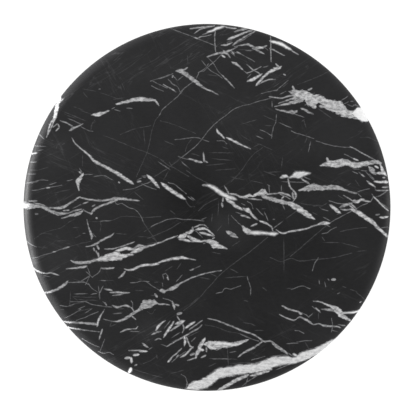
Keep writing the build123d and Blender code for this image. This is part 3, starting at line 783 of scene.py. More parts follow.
    [
        (269.5, 96.3, 1.8), (275, 97, 1.6), (281, 97.6, 1.6), (286, 96.2, 2), (291, 94.8, 2.2),
        (295, 94, 3),
    ],
    [(301, 108.3, 2), (305, 109.6, 2.6), (309, 112, 2), (313, 113.5, 0.8)],
    [(307, 90, 2), (312, 87.3, 2)], [(291.6, 85, 2.4), (294.4, 91, 2.4)],
    [(293, 99.5, 1.6), (299, 97, 1.6)], [(311, 106.5, 4), (316, 106, 4)],
    [(321, 106.5, 3), (327, 107, 3), (332, 111, 2)], [(291, 111, 2.4), (297, 111.5, 2.4)],
    [(324, 165, 2), (330, 165.5, 2.2), (338, 166.3, 2)], [(334, 109.5, 1.6), (338.5, 108.5, 1.6)],
    # east
    [(366, 162.8, 5), (370, 162.3, 5), (376, 161.5, 4.5), (381, 162.8, 2)],
    [(326, 156.5, 2.4), (328.3, 162.5, 2.4)], [(368.5, 166.5, 2), (371.5, 169.7, 5.5), (374.8, 173.3, 2)],
    [
        (298, 190, 1), (301, 189.2, 3), (305, 188, 5.4), (310, 186.9, 7.2), (315, 186.7, 7.2),
        (320, 187.5, 5.8), (325, 187.2, 5.2), (331, 186.7, 5.8), (337, 187.2, 5), (343, 188.8, 3.2),
        (348, 191, 2.2), (356, 192.7, 1.5),
    ],
    [(301, 178.3, 2), (305.5, 181.2, 2.2), (309, 183.6, 0.8)], [(381, 187, 1.6), (390, 186.8, 1.6)],
    [(374.5, 190, 1.4), (390, 190.2, 1.4)], [(339.5, 206.8, 1.5), (345, 204.3, 3), (351, 202.7, 2)],
    [(340.5, 208.5, 1.2), (345, 209.3, 2.2), (351, 208.8, 2)], [(346.5, 202.5, 1.7), (354.5, 209.5, 1.7)],
    [(349.5, 202.5, 1.7), (356.5, 209, 1.7)], [(361, 199.7, 2), (366, 200.7, 2), (370.5, 201, 0.8)],
    [(343, 194.7, 0.8), (349, 198.3, 1.3), (355, 202.5, 1)],
    [(349.5, 146, 1), (355, 148.7, 1.4), (361.5, 152.5, 1.3), (368, 156, 1.4), (374.5, 159.3, 1)],
    [(380.5, 173.5, 1.6), (384, 174, 1.6)], [(382, 177, 1.6), (386, 177.5, 1.6)],
    [(360.5, 173.5, 1.6), (364, 176.5, 1.6)], [(374.5, 214.5, 1.6), (379.5, 214, 1.6)],
    # south-east
    [(282, 305.5, 1.5), (287, 308, 2), (293, 310, 2), (297, 311, 2), (300, 313, 2.5)],
    [
        (279, 314, 1), (286, 317.5, 1.5), (293, 319.5, 1.8), (300, 316.5, 2), (305, 319, 2.5),
        (310, 322, 2.5), (313, 324, 1.5), (319, 323.5, 1.5), (323, 325, 2.5), (330, 325.5, 2),
        (337, 326, 1.8), (341, 327.5, 1),
    ],
    [(321, 308.5, 1), (326, 309, 2.5), (332, 309.5, 3.5), (337, 311, 4)],
    [(330.5, 279, 2.6), (335.5, 279, 2.6)], [(314.5, 307, 1.6), (320, 311.3, 1.6)],
    [(321, 325, 1.6), (327, 325.7, 1.6)], [(341, 325.3, 1.6), (346, 325.3, 1.6)],
    [(359.5, 302.5, 1.6), (362, 301.8, 1.6)],
]
print(len(PALE_VEINS), "pale veins")

# %% [markdown]
# ## Threads
# Hair-fine cracks cross the slab everywhere. They have no width worth drawing, so each is a plain line of
# one width through its bends.

# %% Grey threads
THREAD_WIDTH = 1.0
GREY_THREADS = lines(
    THREAD_WIDTH,
    # north-west
    [(110.5, 108.7), (114.5, 106.8)], [(113.5, 109), (120.5, 110.7)], [(125.5, 107.5), (132.5, 108)],
    [(81, 126.5), (88, 130), (92, 131)], [(38.5, 133.5), (44, 139)], [(32, 145.7), (46, 146)],
    [(36.5, 150.7), (43.5, 149)], [(97.7, 88.5), (100.3, 88.5)], [(67, 117.5), (83, 124.7)],
    [(64.5, 121), (73.5, 128)], [(158, 78.5), (169, 75)], [(169.5, 81.5), (175.5, 86)],
    [(170, 88), (176, 92)], [(180, 93), (185, 87), (191, 82.5)], [(94, 175.8), (104, 175.3), (111, 179)],
    [(142, 176.5), (145.5, 177)], [(180.5, 160.5), (187, 167)],
    # west
    [(29, 162), (37, 161.5)], [(27, 174), (36, 173.3)], [(27, 183), (33, 181.3), (40, 179.5), (47, 180)],
    [(36, 189.5), (48, 186.8)], [(46.5, 187), (54, 186), (61, 184.8)], [(48.5, 184.5), (56.5, 181.8)],
    [(78.5, 167.5), (82, 172)], [(77, 170.7), (83.5, 173.8)], [(82, 174), (93, 174)],
    [(115, 201), (116, 203.5), (122, 203), (128, 207), (135, 209.5), (138.5, 213), (143, 221)],
    [(91.5, 232.5), (96, 237)],
    [(30, 258.7), (38, 256.3), (46, 253.7), (54, 251.3), (61, 248.6), (68, 246.5)],
    [(52, 251.8), (56.5, 250.6)], [(26, 241), (30, 244), (35.5, 246.3)], [(42, 275), (50, 276.5)],
    [(86, 266), (88.3, 270), (89.3, 274), (87.5, 279), (85, 284)], [(85, 270.5), (92.5, 277.5)],
    [(90, 274.7), (79, 281.7)], [(100.5, 267), (98.5, 271.5), (92, 276.5)], [(34, 213), (38, 213)],
    [(82, 233), (85, 233)], [(99, 220.8), (111, 220)], [(69, 282), (86, 281.8)],
    [(99.5, 280), (106, 280)], [(73, 293.3), (88, 293.3)], [(90, 294), (97, 293)],
    [(79, 301.5), (87, 300.3)], [(67, 306), (75, 303)], [(77, 309), (85, 305.5)],
    [(84, 312.5), (92, 308)], [(99.5, 290), (98.5, 297)], [(30, 183), (38, 180.8)],
    [(31, 190), (39.5, 189)], [(66, 180.5), (73, 179)], [(66, 206.5), (71, 201.5)],
    [(71.5, 208.5), (81, 203.5)],
    # south-west
    [(67, 282), (75, 281.7), (82, 281.2), (88, 284)], [(88, 283), (91, 287.5), (97, 291.5)],
    [(98, 286.5), (99, 293), (99.3, 298)], [(102.7, 285), (98.7, 294)],
    [(130, 282.3), (136, 282), (141, 280.6), (148, 281)],
    [(146, 281), (151, 285), (158, 289.3), (161, 290)],
    [(70, 301), (78, 301.3), (85, 301), (90, 303.5), (97, 305), (104, 306), (111, 306.5)],
    [(102, 300.7), (107, 304.8)], [(59, 304.8), (68, 306.2)], [(65, 317.7), (72, 313.7), (80, 309)],
    [(76, 320), (84, 317), (92, 313.5), (97.5, 311.5)], [(104, 339), (101.7, 345), (99.5, 351.5)],
    [(98, 351.7), (103, 353), (109, 352), (112.5, 354)], [(130.7, 300.5), (132, 302.5), (132, 306.5)],
    [(128.5, 331), (139.5, 331)], [(82, 339), (90, 343), (98.5, 346.7)], [(148, 349.3), (152, 346.5)],
    # south
    [(175.5, 281.7), (182, 274.3)], [(163, 298), (169, 299.5), (173.5, 303)],
    [(160, 343.7), (168, 346.3)], [(171.5, 361.3), (178, 356), (185, 351.3)],
    [(243, 386), (248, 381), (254, 377), (260, 373)], [(245.8, 385), (247.7, 376.5)],
    [(251, 379), (258, 373)], [(229, 351.8), (236, 351)], [(251.5, 359.5), (258, 357.7), (264, 356)],
    [(186, 388.5), (186.7, 382), (185.3, 377.5), (181, 374)], [(185.5, 384), (191, 384)],
    [(246.7, 275.5), (247.6, 280.5)], [(247.8, 280.5), (250.2, 287.5)], [(250.4, 287), (250, 295)],
    [(216, 293), (221, 291.8), (224.5, 288), (231, 288.5), (240, 285.3)],
    [(161.5, 274.5), (165.5, 272.6)], [(165, 272.6), (167.8, 276.5)], [(162, 274), (163.5, 279)],
    [(167, 275.5), (168.5, 280)], [(161.5, 282), (162.5, 286)], [(209, 358.2), (232, 358.6)],
    [(240, 333.5), (250, 338), (258, 340.5)], [(112, 313.4), (122, 312.6)],
    [(163.5, 328.5), (170, 319.5)], [(171, 337.5), (180, 331.5)], [(190.5, 341.5), (195.5, 336.5)],
    # middle
    [(140, 175.5), (148.5, 175.5)], [(136, 179.8), (141.5, 177.3)],
    [(168, 182), (174, 184), (180, 188.5), (185.5, 193)], [(187, 196), (193.5, 200.3)],
    [(190, 196), (195, 200)], [(178, 156), (184, 158), (190, 159)], [(240.5, 202.8), (245, 205)],
    [(247, 201), (251, 203.5), (252.5, 208)], [(235, 211.7), (242, 214)], [(255.5, 207.5), (263, 215.5)],
    [(263.7, 211), (267.8, 220.5)], [(231, 215.5), (236, 220.7), (242, 226.3)],
    [(193, 229.7), (196.5, 231.5), (201.5, 236.5)], [(202.5, 243.3), (205, 242.7)],
    [(151, 226), (160, 221.7), (168, 219), (175, 218), (184, 219), (193, 219.3), (203, 220.5)],
    [(200.5, 219.2), (206.5, 216.8)], [(189.5, 269.3), (194, 268), (199.5, 265.3)],
    [(157.5, 161), (170, 169.3)], [(266.5, 183.7), (269.5, 185.8)], [(268.2, 184.5), (269.2, 193)],
    [(123, 189.5), (133, 188), (141, 184.7), (150, 181.5)], [(141.5, 183.5), (148, 186.5), (155.5, 189)],
    [(281, 181), (306, 182)], [(272, 218.7), (274.5, 218.7)], [(281, 184.5), (280.7, 191)],
    # north
    [(171, 28), (180, 31.7), (190, 35.3), (200, 39.3), (208, 42.3), (216, 46)],
    [(222, 53), (215, 60), (208, 66), (204, 70), (199, 71.5), (197, 75), (195, 79.5)],
    [(201.5, 60.5), (206, 66), (210, 70), (216, 73.5), (221.5, 77.5)],
    [(207.5, 57), (213, 63), (217, 70), (222, 75.5)], [(236, 43), (243, 39), (250.5, 34.3)],
    [(229.5, 51.7), (235, 55.8)], [(233, 51.5), (240, 53.5), (247, 57), (254, 61)],
    [(225.5, 42.2), (232, 40)], [(262, 67.2), (268, 65.2)], [(242.5, 69.7), (248, 74)],
    [(251, 73), (246.3, 78)], [(262.5, 45.7), (268, 50)],
    [(150, 80.5), (157, 78.3), (164, 76), (172, 73.3)], [(172.5, 75.5), (177.3, 80.3)],
    [(176.7, 80.3), (183, 75)], [(171, 74.7), (174.5, 77.8)], [(153, 81), (160, 84.5), (166.5, 87.5)],
    [(151.5, 85.5), (157, 88.5), (162.5, 90.5)], [(168, 79), (172, 83), (177, 86.5), (179.5, 91)],
    [(195, 80), (188, 84.5), (181, 90.5), (178, 95), (170, 102), (163, 108), (158.5, 115.5)],
    [
        (270, 98), (258, 100.7), (250, 103.5), (241, 105.5), (233, 109), (226, 114.5), (216, 122),
        (208, 130), (201, 139), (195, 146), (188, 151.5), (181, 157),
    ],
    [(175, 139), (185, 138), (195, 137), (202, 139), (208, 141)],
    [(217, 140.5), (223, 140.5), (226, 143)], [(255, 134.8), (263, 138.5)],
    [(260, 129.5), (266, 132), (271.5, 135.5)], [(261, 93), (269, 91), (277, 89.5)],
    [(271.5, 100.5), (271.5, 107)], [(271, 90.3), (277, 90.3)], [(279, 94), (286, 90.5)],
    [(279, 102.7), (285, 101)], [(244, 50), (252, 50.3)], [(214.5, 40.5), (214.8, 46)],
    [(198, 72), (205, 67.5), (208, 63)],
    # north-east
    [(292, 112.7), (304, 117)], [(276, 114.5), (275.3, 121), (272.5, 128), (271, 137.5)],
    [(278, 122), (292, 127.7)], [(291, 130.7), (297, 133), (304, 135), (313, 138)],
    [(316, 140.5), (324, 143), (332, 145.3), (340, 146.3), (349, 147)], [(310.2, 140.5), (307.8, 152)],
    [(344, 153.7), (350, 156.5), (357.5, 160.3)], [(277, 89), (282, 84.5), (287.5, 80)],
    [(303.5, 104.8), (309, 102.8)], [(340.5, 100.3), (348.5, 95.2)], [(343, 103.5), (348.5, 101)],
    [(346.5, 103.8), (353.5, 106.3)], [(353, 104.3), (360, 106)], [(350, 101), (354, 101)],
    [(352, 105.5), (357, 104)],
    # east
    [(365.5, 171.5), (370, 176.5), (375, 181)], [(368, 173), (374, 179)], [(351.5, 170.7), (358, 173.5)],
    [(357.5, 171), (365, 176.7)], [(360, 170), (367, 170.5)], [(351.5, 168.2), (359.5, 168.8)],
    [(374, 186), (375, 189), (377.5, 190.3)], [(374, 197), (380, 194.5), (387, 190.7)],
    [(369.7, 201.5), (373.8, 195)], [(371.2, 193), (374.3, 197.5)], [(379, 201.2), (389, 208.7)],
    [(380, 227), (389, 227)], [(356, 192), (361, 190), (368.5, 188.3)], [(356.5, 192.5), (361.5, 197)],
    [(329, 200.5), (334, 202), (339, 203), (346, 203.3)], [(355.5, 208.3), (361, 205.2), (367, 202.8)],
    [(330, 222), (337, 218), (344, 214.5), (351, 210.5)],
    [(322, 233.2), (326.5, 232.3), (330.5, 229), (335.5, 226.7)],
    [(317.5, 257.5), (314, 263.5), (312, 270)], [(281.7, 202.5), (284.3, 209.5)],
    [(322.5, 216.5), (330, 220.5)], [(324.5, 223.8), (330, 226.5)], [(336, 213.8), (341.5, 212.7)],
    [(302, 175.6), (310, 179)], [(271, 229.2), (283, 220.3)], [(377, 196.5), (386.5, 191.5)],
    [(321, 208.3), (328, 210.5)],
    # south-east
    [(300, 312), (305, 314), (308, 316.5)], [(307.5, 316.8), (312.5, 312.7)],
    [(337, 323.8), (347, 326.2)], [(312, 306), (316, 309), (320, 312)],
    [(331, 318), (332, 325), (331, 331)], [(331, 329.7), (338, 331.8)],
    [(295, 330), (299, 330.5), (303, 333)], [(285.5, 343), (298, 342.6)],
    [(296.5, 341.5), (303, 340.5), (311, 340)], [(287, 352.3), (294, 356.5)],
    [(275, 369.5), (288.5, 364.3)], [(269, 356), (283, 354.4)],
    [(291, 289), (296, 287), (301, 285.5), (309, 288)], [(336.5, 293.5), (340, 292)],
    [(327, 278), (329, 280)], [(318.5, 279), (319, 284)], [(324, 281), (325.5, 287)],
    [(302.5, 317), (310, 321)],
)
print(len(GREY_THREADS), "grey threads")

# %% Faint threads
FAINT_THREADS = lines(
    THREAD_WIDTH,
    # north-west
    [(98, 91.7), (119, 98.8)], [(79, 87.8), (97, 91.2)], [(59, 109.6), (86, 120.4)],
    [(63, 113), (76, 118.4)], [(69, 114), (86, 120.5)],
    [(103, 135), (116, 140), (130, 146), (147, 152.5), (163, 160)],
    [(94.5, 119.5), (91, 124), (90.5, 130)], [(79, 109.6), (93, 114.4)], [(121, 81.5), (124.5, 90.5)],
    [(119.5, 84), (121, 90)], [(112, 99), (126, 97)], [(82, 91), (88, 98)], [(72, 106), (84, 110)],
    [(50, 140), (55, 139.5)], [(55, 149), (57, 145)], [(59, 146), (65, 142)], [(187, 54), (187.3, 64)],
    # west
    [(31, 189.7), (41, 189)], [(49, 193.5), (71, 188.7)], [(29, 170), (38, 169.5)],
    [(35, 170.4), (49, 166.2)], [(92, 176.2), (99, 175.8)], [(102, 175), (107, 178), (112.5, 179.7)],
    [(82.2, 153), (82, 167)],
    [(87, 221), (100, 221), (112, 219.5), (122, 216), (133, 216), (146, 217), (160, 216)],
    [(34, 238), (42, 233), (50, 230), (60, 227.5), (68, 222), (74, 218.5)], [(40, 232.7), (53, 233.7)],
    [(35, 246), (48, 247.7)], [(55, 240.6), (67, 239.9)], [(68, 246.3), (80, 243), (91, 240.5)],
    [(74, 237.5), (81, 234.5)], [(71, 207.3), (83, 203.7)], [(114, 233), (127, 233.7)],
    [(137, 236), (152, 237)], [(72, 227), (79, 227)],
    # south-west
    [(97, 280), (114, 280)], [(72, 293), (88, 293)], [(71, 296), (80, 296)],
    [(71.5, 295.6), (77.5, 300.4)], [(75, 299), (99, 300)], [(70, 306), (76, 303), (83, 302.3)],
    [(72, 312.2), (91, 307.8)], [(111.2, 321), (108.8, 327)], [(109, 326.5), (117, 323)],
    [(111, 313.2), (124, 311.3)], [(132, 368.8), (151, 374.2)], [(150, 374.2), (163, 377.3)],
    [(169, 373.3), (184, 369.5)], [(70.2, 290), (69, 307)], [(134, 290), (144, 290)],
    [(117, 308.5), (124, 308)], [(72, 278), (81, 281.2)], [(60, 309), (64, 309.5)],
    [(75, 296.8), (98, 296.6)],
    # south
    [(199, 276.8), (210, 278.7)], [(209, 272.5), (217, 276.6)], [(185, 337.5), (200, 330)],
    [(205, 324.5), (216, 326.5), (226, 330.5), (240, 333.3), (251, 338)], [(227, 346), (228, 367)],
    [(208, 358), (222, 358)], [(222, 358.2), (237, 358.8)], [(228, 363), (254, 362)],
    [(207, 366.5), (216, 362.6)], [(143, 363), (151, 359.5), (156.5, 355)],
    [(155.3, 353.5), (157.3, 358.7)], [(249, 322.7), (255, 325.3)], [(242, 322), (251, 323.2)],
    [(253.5, 330), (263.5, 330)],
    [(183, 310), (195, 301), (208, 287), (222, 272), (235, 261.7), (250, 250.7), (267, 237)],
    [(189, 304.7), (199, 296.3)], [(224, 277.3), (246, 275.8)], [(229, 268), (238, 272.5)],
    [(261.5, 286.5), (266.5, 290.5)], [(243, 300), (248, 301)],
    [(147, 311), (151, 313.3), (154.5, 309.5)], [(164, 270.5), (172.5, 265.5)],
    [(150, 294.5), (157, 296)], [(176, 269), (181, 262)], [(153, 282), (158, 281.5)],
    [(170, 342), (180, 337)],
    # middle
    [(184.5, 199), (190, 206.2), (194, 206)], [(144, 230.8), (152, 226), (166, 219.5)],
    [(147, 238), (158, 233.3), (170, 228), (179.5, 221.7)], [(198, 210), (206, 203.3), (217.5, 197.7)],
    [(218.2, 200), (217.5, 216)], [(160, 159), (168, 165), (175, 168), (188, 176)],
    [(154, 176), (165, 169.3), (173, 163.5), (181, 157)], [(162.5, 180), (168.5, 170)],
    [(179, 159), (190, 169)], [(190, 152.8), (200, 155.5)],
    [(186, 170), (196, 177), (204, 181), (213, 186)], [(262, 147), (252, 155), (240, 171), (231, 181)],
    [(230, 176.5), (244, 179.3)], [(249, 180), (263, 183)], [(132, 190), (143.5, 199.8)],
    [(142, 220.5), (149, 231), (156, 240.5)], [(146, 243.3), (159, 241.7)],
    [(151.5, 236.5), (156.5, 241.7)], [(228, 213), (228, 225)], [(212, 213), (211, 222)],
    [(222, 224), (216, 231)], [(240, 240), (231, 246)], [(261, 208.3), (266, 208.5)],
    [(210, 158), (232, 160)], [(205, 165), (226, 163)], [(214, 170), (236, 168)],
    [(175, 214), (169, 209.5)], [(100, 222), (100.5, 226), (99.5, 231)], [(247, 121.5), (256, 119.5)],
    [(211, 251.5), (221, 253.5)], [(204, 278), (209, 278.5)], [(95, 121), (92, 123), (91, 128)],
    [(168, 161), (172, 166)], [(159, 172.5), (166, 168.5)], [(312, 205.5), (318, 205.5)],
    # north
    [(237, 49), (256, 49.6)], [(147, 151), (143, 160), (136, 176)],
    [(159, 115), (154, 122), (151.5, 130), (149.5, 140), (147, 151)],
    [(190.5, 139.5), (187, 144), (185, 150.5)], [(160, 120.5), (170, 123), (183, 128), (195, 133)],
    [(239, 124.3), (257, 118.7)], [(239, 134), (251, 141)], [(255, 142), (273, 150)],
    [(252.5, 146.6), (259, 143.6)], [(208, 152), (234, 152.5)], [(262, 114.5), (275, 120.5)],
    [(264, 125), (272, 125)], [(206, 74), (218, 75.7)], [(282.5, 74), (285.5, 75)],
    [(272, 88), (279, 82)], [(281, 87.5), (288, 82)], [(120, 134), (134, 128.5), (150, 125)],
    [(143, 127), (144.5, 146)], [(163, 140), (175, 145)], [(221, 146), (228, 148.5)],
    [(262, 170), (276, 175.5)], [(265, 172), (281, 171)], [(282, 156), (281, 168)],
    # north-east
    [(317, 107.5), (329, 116)], [(321, 111), (332, 118.3)], [(303, 119), (306, 128)],
    [(307, 135.5), (304, 143)], [(297, 84), (308, 80), (318, 76), (328.5, 71)],
    [(360, 137), (368, 137), (377, 141)], [(301, 121), (304.5, 119)],
    # east
    [(326.5, 224.8), (320, 230), (313, 236), (305, 243), (297, 250), (290, 256)],
    [(285, 218.5), (299, 208.5)],
    [
        (270, 257), (281, 261), (290, 258), (300, 260.5), (315, 259), (330, 257.5), (342, 255),
        (351, 252.5),
    ],
    [(283.3, 238), (283.5, 272)], [(301, 203), (310, 204.5), (321, 205)],
    [(317.5, 205.5), (322.5, 209.5)], [(319.5, 206.5), (327, 202.5)],
    [(340, 231), (352, 228.5), (366, 227)], [(311.5, 211.5), (317, 214.5)], [(375.5, 214), (380, 213.4)],
    [(346, 185.3), (351, 182.7)], [(354, 178), (359, 186)], [(321, 236), (324.5, 240.5)],
    [(322, 242), (340, 242)], [(340, 242), (360, 247.5)], [(355, 251), (367, 250)],
    [(337, 194), (344, 199)],
    # south-east
    [(318, 311), (318, 319)], [(304.5, 341), (308.5, 349)], [(349, 288.7), (357, 291.3)],
    [(356, 292), (362, 297), (366, 300)], [(341, 285.5), (346, 287.5)], [(360, 302), (363, 301.5)],
    [(331, 288), (333, 288.5)], [(286, 288), (294, 288)],
)
print(len(FAINT_THREADS), "faint threads")

# %% [markdown]
# ## The marble's finish
# The stone is honed, not mirror polished: a soft sheen over a black that is painted a little paler in the
# west than in the south-east, painted light and shade as light from the left falls. Each layer's field
# becomes a mask with a slightly ragged edge. Object coordinates place it all, so the veins run on over the
# rounded edge and through the slab, leaning a little as real sheets of calcite do.

# %% Where the slab is
VEIN_LEAN = (0.16, -0.1)
WOBBLE = 0.55
WOBBLE_SCALE = 0.16


def slab_place(tree, place):
    """Object coordinates to photograph pixels (x right, y down, 1), shifted with the depth in the slab."""
    depth = maths(tree, "SUBTRACT", TOP_FACE, height_of(tree, place))
    lean = step(tree, "VectorMath", (*VEIN_LEAN, 0.0), operation="SCALE")
    tree.links.new(depth, lean.inputs["Scale"])
    leaned = vectors(tree, "ADD", place, lean.outputs[0])
    scale = (1 / FACE_PIXEL, -1 / FACE_PIXEL, 0.0)
    return vectors(tree, "MULTIPLY_ADD", leaned, scale, (*PHOTO_CENTRE, 1.0))


def wobbled(tree, place):
    """Moves a place by a small smooth noise, so that the listed lines waver as cracks do."""
    shift = noise(tree, place, WOBBLE_SCALE, detail=4.0, flat=True, output="Color")
    centred = vectors(tree, "SUBTRACT", shift, (0.5, 0.5, 0.5))
    return vectors(tree, "MULTIPLY_ADD", centred, (2 * WOBBLE, 2 * WOBBLE, 0.0), place)


def distance_from(tree, slab, centre):
    """How many pixels a place on the slab lies from a point of the photograph."""
    return vectors(tree, "DISTANCE", slab, (*centre, 1.0), output="Value")


print("the wobble is", round(WOBBLE * PIXEL * MILLIMETRES, 2), "mm")

# %% [markdown]
# ## The black ground
# Between the veins the stone is never quite even. Painted shade makes it blackest right of and below the
# middle, and painted light makes it paler away from there, as light from the left falls; a slow cloud and
# fine grain break it up, and families of ghost lines, the edges of old healed cracks, cross it in three
# directions. A ghost line is where a stretched noise passes through its middle value.

# %% Ghost lines
# The next three paint light and shade into the stone: darkest at this point right of and below the middle,
# paler further out, as light from the left falls.
PAINTED_SHADE_CENTRE = (265.0, 285.0)
PAINTED_SHADE_REACH = (50.0, 250.0)
PAINTED_LIGHT_WHITENESS = (0.005, 0.085)
CLOUD_SCALE = 0.022
CLOUD_WHITENESS = 0.035
GRAIN_WHITENESS = 0.03
GROUND_SPOTS = (
    # centre, radius in pixels, whiteness
    ((186, 203), 46.0, -0.06),
    ((230, 229), 26.0, 0.06),
    ((214, 222), 16.0, 0.05),
    ((148, 328), 20.0, 0.05),
    ((56, 152), 24.0, 0.035),
    ((62, 262), 34.0, 0.04),
    ((250, 122), 32.0, 0.03),
    ((332, 130), 32.0, 0.025),
    ((322, 340), 30.0, 0.055),
    ((240, 312), 26.0, 0.03),
)
GHOST_FAMILIES = (
    # turn in degrees, length and spacing in pixels, whiteness
    (24, 80.0, 6.0, 0.07),
    (-31, 70.0, 6.5, 0.09),
    (62, 60.0, 8.0, 0.06),
)
GHOST_WIDTH = 0.025
PATCH_SCALE = 0.35
PATCH_RANGE = (0.54, 0.66)


def ghost_lines(tree, slab, turn, length, spacing, level):
    """Thin lines along one direction: where stretched noise crosses one half, patchy over the slab."""
    drawn_out = stretched(tree, slab, (length, spacing, 1.0), math.radians(turn), "TEXTURE")
    field = noise(tree, drawn_out, 1.0, detail=2.0, flat=True)
    off_line = maths(tree, "ABSOLUTE", maths(tree, "SUBTRACT", field, 0.5))
    patch = noise(tree, drawn_out, PATCH_SCALE, detail=1.0, flat=True)
    line = spread(tree, off_line, GHOST_WIDTH, 0.0, 0.0, level)
    return maths(tree, "MULTIPLY", line, spread(tree, patch, *PATCH_RANGE))


def slab_ground(tree, slab, grain):
    """Whiteness of the stone without veins: painted light and shade, cloud, grain, soft spots and ghost
    lines.
    """
    cloud = noise(tree, slab, CLOUD_SCALE, detail=4.0, flat=True)
    # Painted light and shade: paler with distance from the darkest point, towards the lit west.
    painted_light_falloff = spread(tree, distance_from(tree, slab, PAINTED_SHADE_CENTRE), *PAINTED_SHADE_REACH, *PAINTED_LIGHT_WHITENESS)
    ground = maths(tree, "MULTIPLY_ADD", vary(tree, cloud), CLOUD_WHITENESS, painted_light_falloff)
    ground = maths(tree, "MULTIPLY_ADD", vary(tree, grain), GRAIN_WHITENESS, ground)
    for centre, radius, level in GROUND_SPOTS:
        spot = spread(tree, distance_from(tree, slab, centre), radius, radius / 4, 0.0, level)
        ground = maths(tree, "ADD", ground, spot)
    for family in GHOST_FAMILIES:
        ground = maths(tree, "ADD", ground, ghost_lines(tree, slab, *family))
    return ground


print(len(GROUND_SPOTS), "soft spots and", len(GHOST_FAMILIES), "families of ghost lines")

# %% [markdown]
# ## All layers together
# The layers meet in one number, the whiteness, and a colour ramp turns that into stone. Each layer has its
# whiteness, the width of its soft edge, the raggedness of that edge and how strongly its filling is mottled.

# %% Whiteness of the slab
BODY = 0.88
FEATHER_SCALE = 0.4
FEATHER_STRETCH = (0.5, 1.0, 1.0)
GRAIN_SCALE = 0.4
GRAIN_STRETCH = (0.45, 1.0, 1.0)
GRAIN_TURN = -0.2
FILLING_RANGE = (0.34, 0.58)
LAYERS = (
    # name, veins, whiteness, soft edge, raggedness, mottle
    ("faint_threads", FAINT_THREADS, 0.29, 0.85, 1.0, 0.4),
    ("grey_threads", GREY_THREADS, 0.52, 0.85, 1.0, 0.4),
    ("pale_veins", PALE_VEINS, 0.77, 1.15, 1.3, 0.45),
    ("white_veins", WHITE_VEINS, 0.91, 1.3, 1.0, 0.4),
    ("milk_veins", MILK_VEINS, 0.955, 2.4, 0.7, 0.16),
    ("chalk_veins", CHALK_VEINS, 1.0, 2.0, 0.7, 0.04),
)


def slab_whiteness(tree, slab):
    """The ground's whiteness, or that of the whitest layer of veins at the place."""
    line_place = wobbled(tree, slab)
    feather_place = stretched(tree, slab, FEATHER_STRETCH)
    feather = noise(tree, feather_place, FEATHER_SCALE, detail=4.0, roughness=0.62, flat=True)
    ragged = maths(tree, "SUBTRACT", feather, 0.5)
    fibrous = stretched(tree, slab, GRAIN_STRETCH, GRAIN_TURN)
    grain = noise(tree, fibrous, GRAIN_SCALE, detail=5.0, roughness=0.72, flat=True)
    whiteness = slab_ground(tree, slab, grain)
    for name, veins, level, edge, raggedness, mottle in LAYERS:
        swell = maths(tree, "MULTIPLY_ADD", ragged, raggedness, BODY)
        depth = vein_layer(tree, line_place, swell, name, veins)
        mask = spread(tree, depth, -edge / 2, edge / 2)
        filling = spread(tree, grain, *FILLING_RANGE, level * (1 - mottle), level)
        whiteness = maths(tree, "MAXIMUM", whiteness, maths(tree, "MULTIPLY", mask, filling))
    return whiteness


print(sum(len(layer[1]) for layer in LAYERS), "veins in", len(LAYERS), "layers")

# %% [markdown]
# ## Honed above, sawn below
# The surface normal tells the sides apart. The face is honed evenly, the rounded edge is a little duller,
# and the underside was left as the saw made it: dull, dusty and faintly lined.

# %% Black marble
STONE_TONES = (
    # whiteness, then linear red, green and blue
    (0.0, 0.0042, 0.0042, 0.0046),
    (0.14, 0.0205, 0.0205, 0.0215),
    (0.3, 0.072, 0.072, 0.075),
    (0.5, 0.175, 0.175, 0.179),
    (0.74, 0.37, 0.37, 0.375),
    (0.88, 0.56, 0.56, 0.565),
    (0.95, 0.69, 0.69, 0.693),
    (1.0, 0.82, 0.82, 0.82),
)
HONED_ROUGHNESS = (0.35, 0.43)
HONED_SPECULAR = 0.15
EDGE_NORMALS = (0.995, 0.93)
EDGE_DULLNESS = 0.18
SAWN_NORMALS = (-0.6, -0.9)
SAWN_DULLNESS = 0.4
SAWN_DUST = (0.085, 0.085, 0.087, 1.0)
DUST_SHARE = 0.55
SAW_LINE_STRETCH = (6.0, 420.0, 1.0)
SAW_LINE_TURN = 0.3
SAW_LINE_HEIGHT = 8.0
TOOTH_DEPTH = 0.00002


def marble_finish():
    """Honed black marble with the slab's own veins, sawn below."""
    material, tree, shader, place = new_finish("black_marble_finish")
    honed = shade(tree, slab_whiteness(tree, slab_place(tree, place)), *STONE_TONES)
    upward = height_of(tree, step(tree, "NewGeometry").outputs["Normal"])
    sawn = spread(tree, upward, *SAWN_NORMALS)
    dusty = mixed(tree, maths(tree, "MULTIPLY", sawn, DUST_SHARE), honed, SAWN_DUST)
    sheen = vary(tree, noise(tree, place, 14.0, detail=4.0), *HONED_ROUGHNESS)
    edge_duller = spread(tree, upward, *EDGE_NORMALS, 0.0, EDGE_DULLNESS)
    duller = maths(tree, "MULTIPLY_ADD", sawn, SAWN_DULLNESS, edge_duller)
    coat(tree, shader, dusty, maths(tree, "ADD", duller, sheen))
    shader.inputs["Specular IOR Level"].default_value = HONED_SPECULAR
    saw_lines = noise(tree, stretched(tree, place, SAW_LINE_STRETCH, SAW_LINE_TURN), 1.0, detail=2.0)
    saw_mark = maths(tree, "MULTIPLY", saw_lines, sawn)
    tooth = noise(tree, place, 700.0, detail=2.0)
    emboss(tree, shader, maths(tree, "MULTIPLY_ADD", saw_mark, SAW_LINE_HEIGHT, tooth), TOOTH_DEPTH)
    return material


marble = marble_finish()
print("marble nodes:", len(marble.node_tree.nodes))

# %% [markdown]
# ## The stone top
# The slab is a disc with a half bullnose: the face runs into a quarter circle, and only a thin arris is
# left above the underside. The CAD solid has that shape already. It is turned again here with four hundred
# columns, so that the rim stays a clean circle in the picture.

# %% Turn the slab
SLAB_COLUMNS = 400
FACE_RINGS = 6
ARRIS_STEPS = 5
ROUND_STEPS = 25

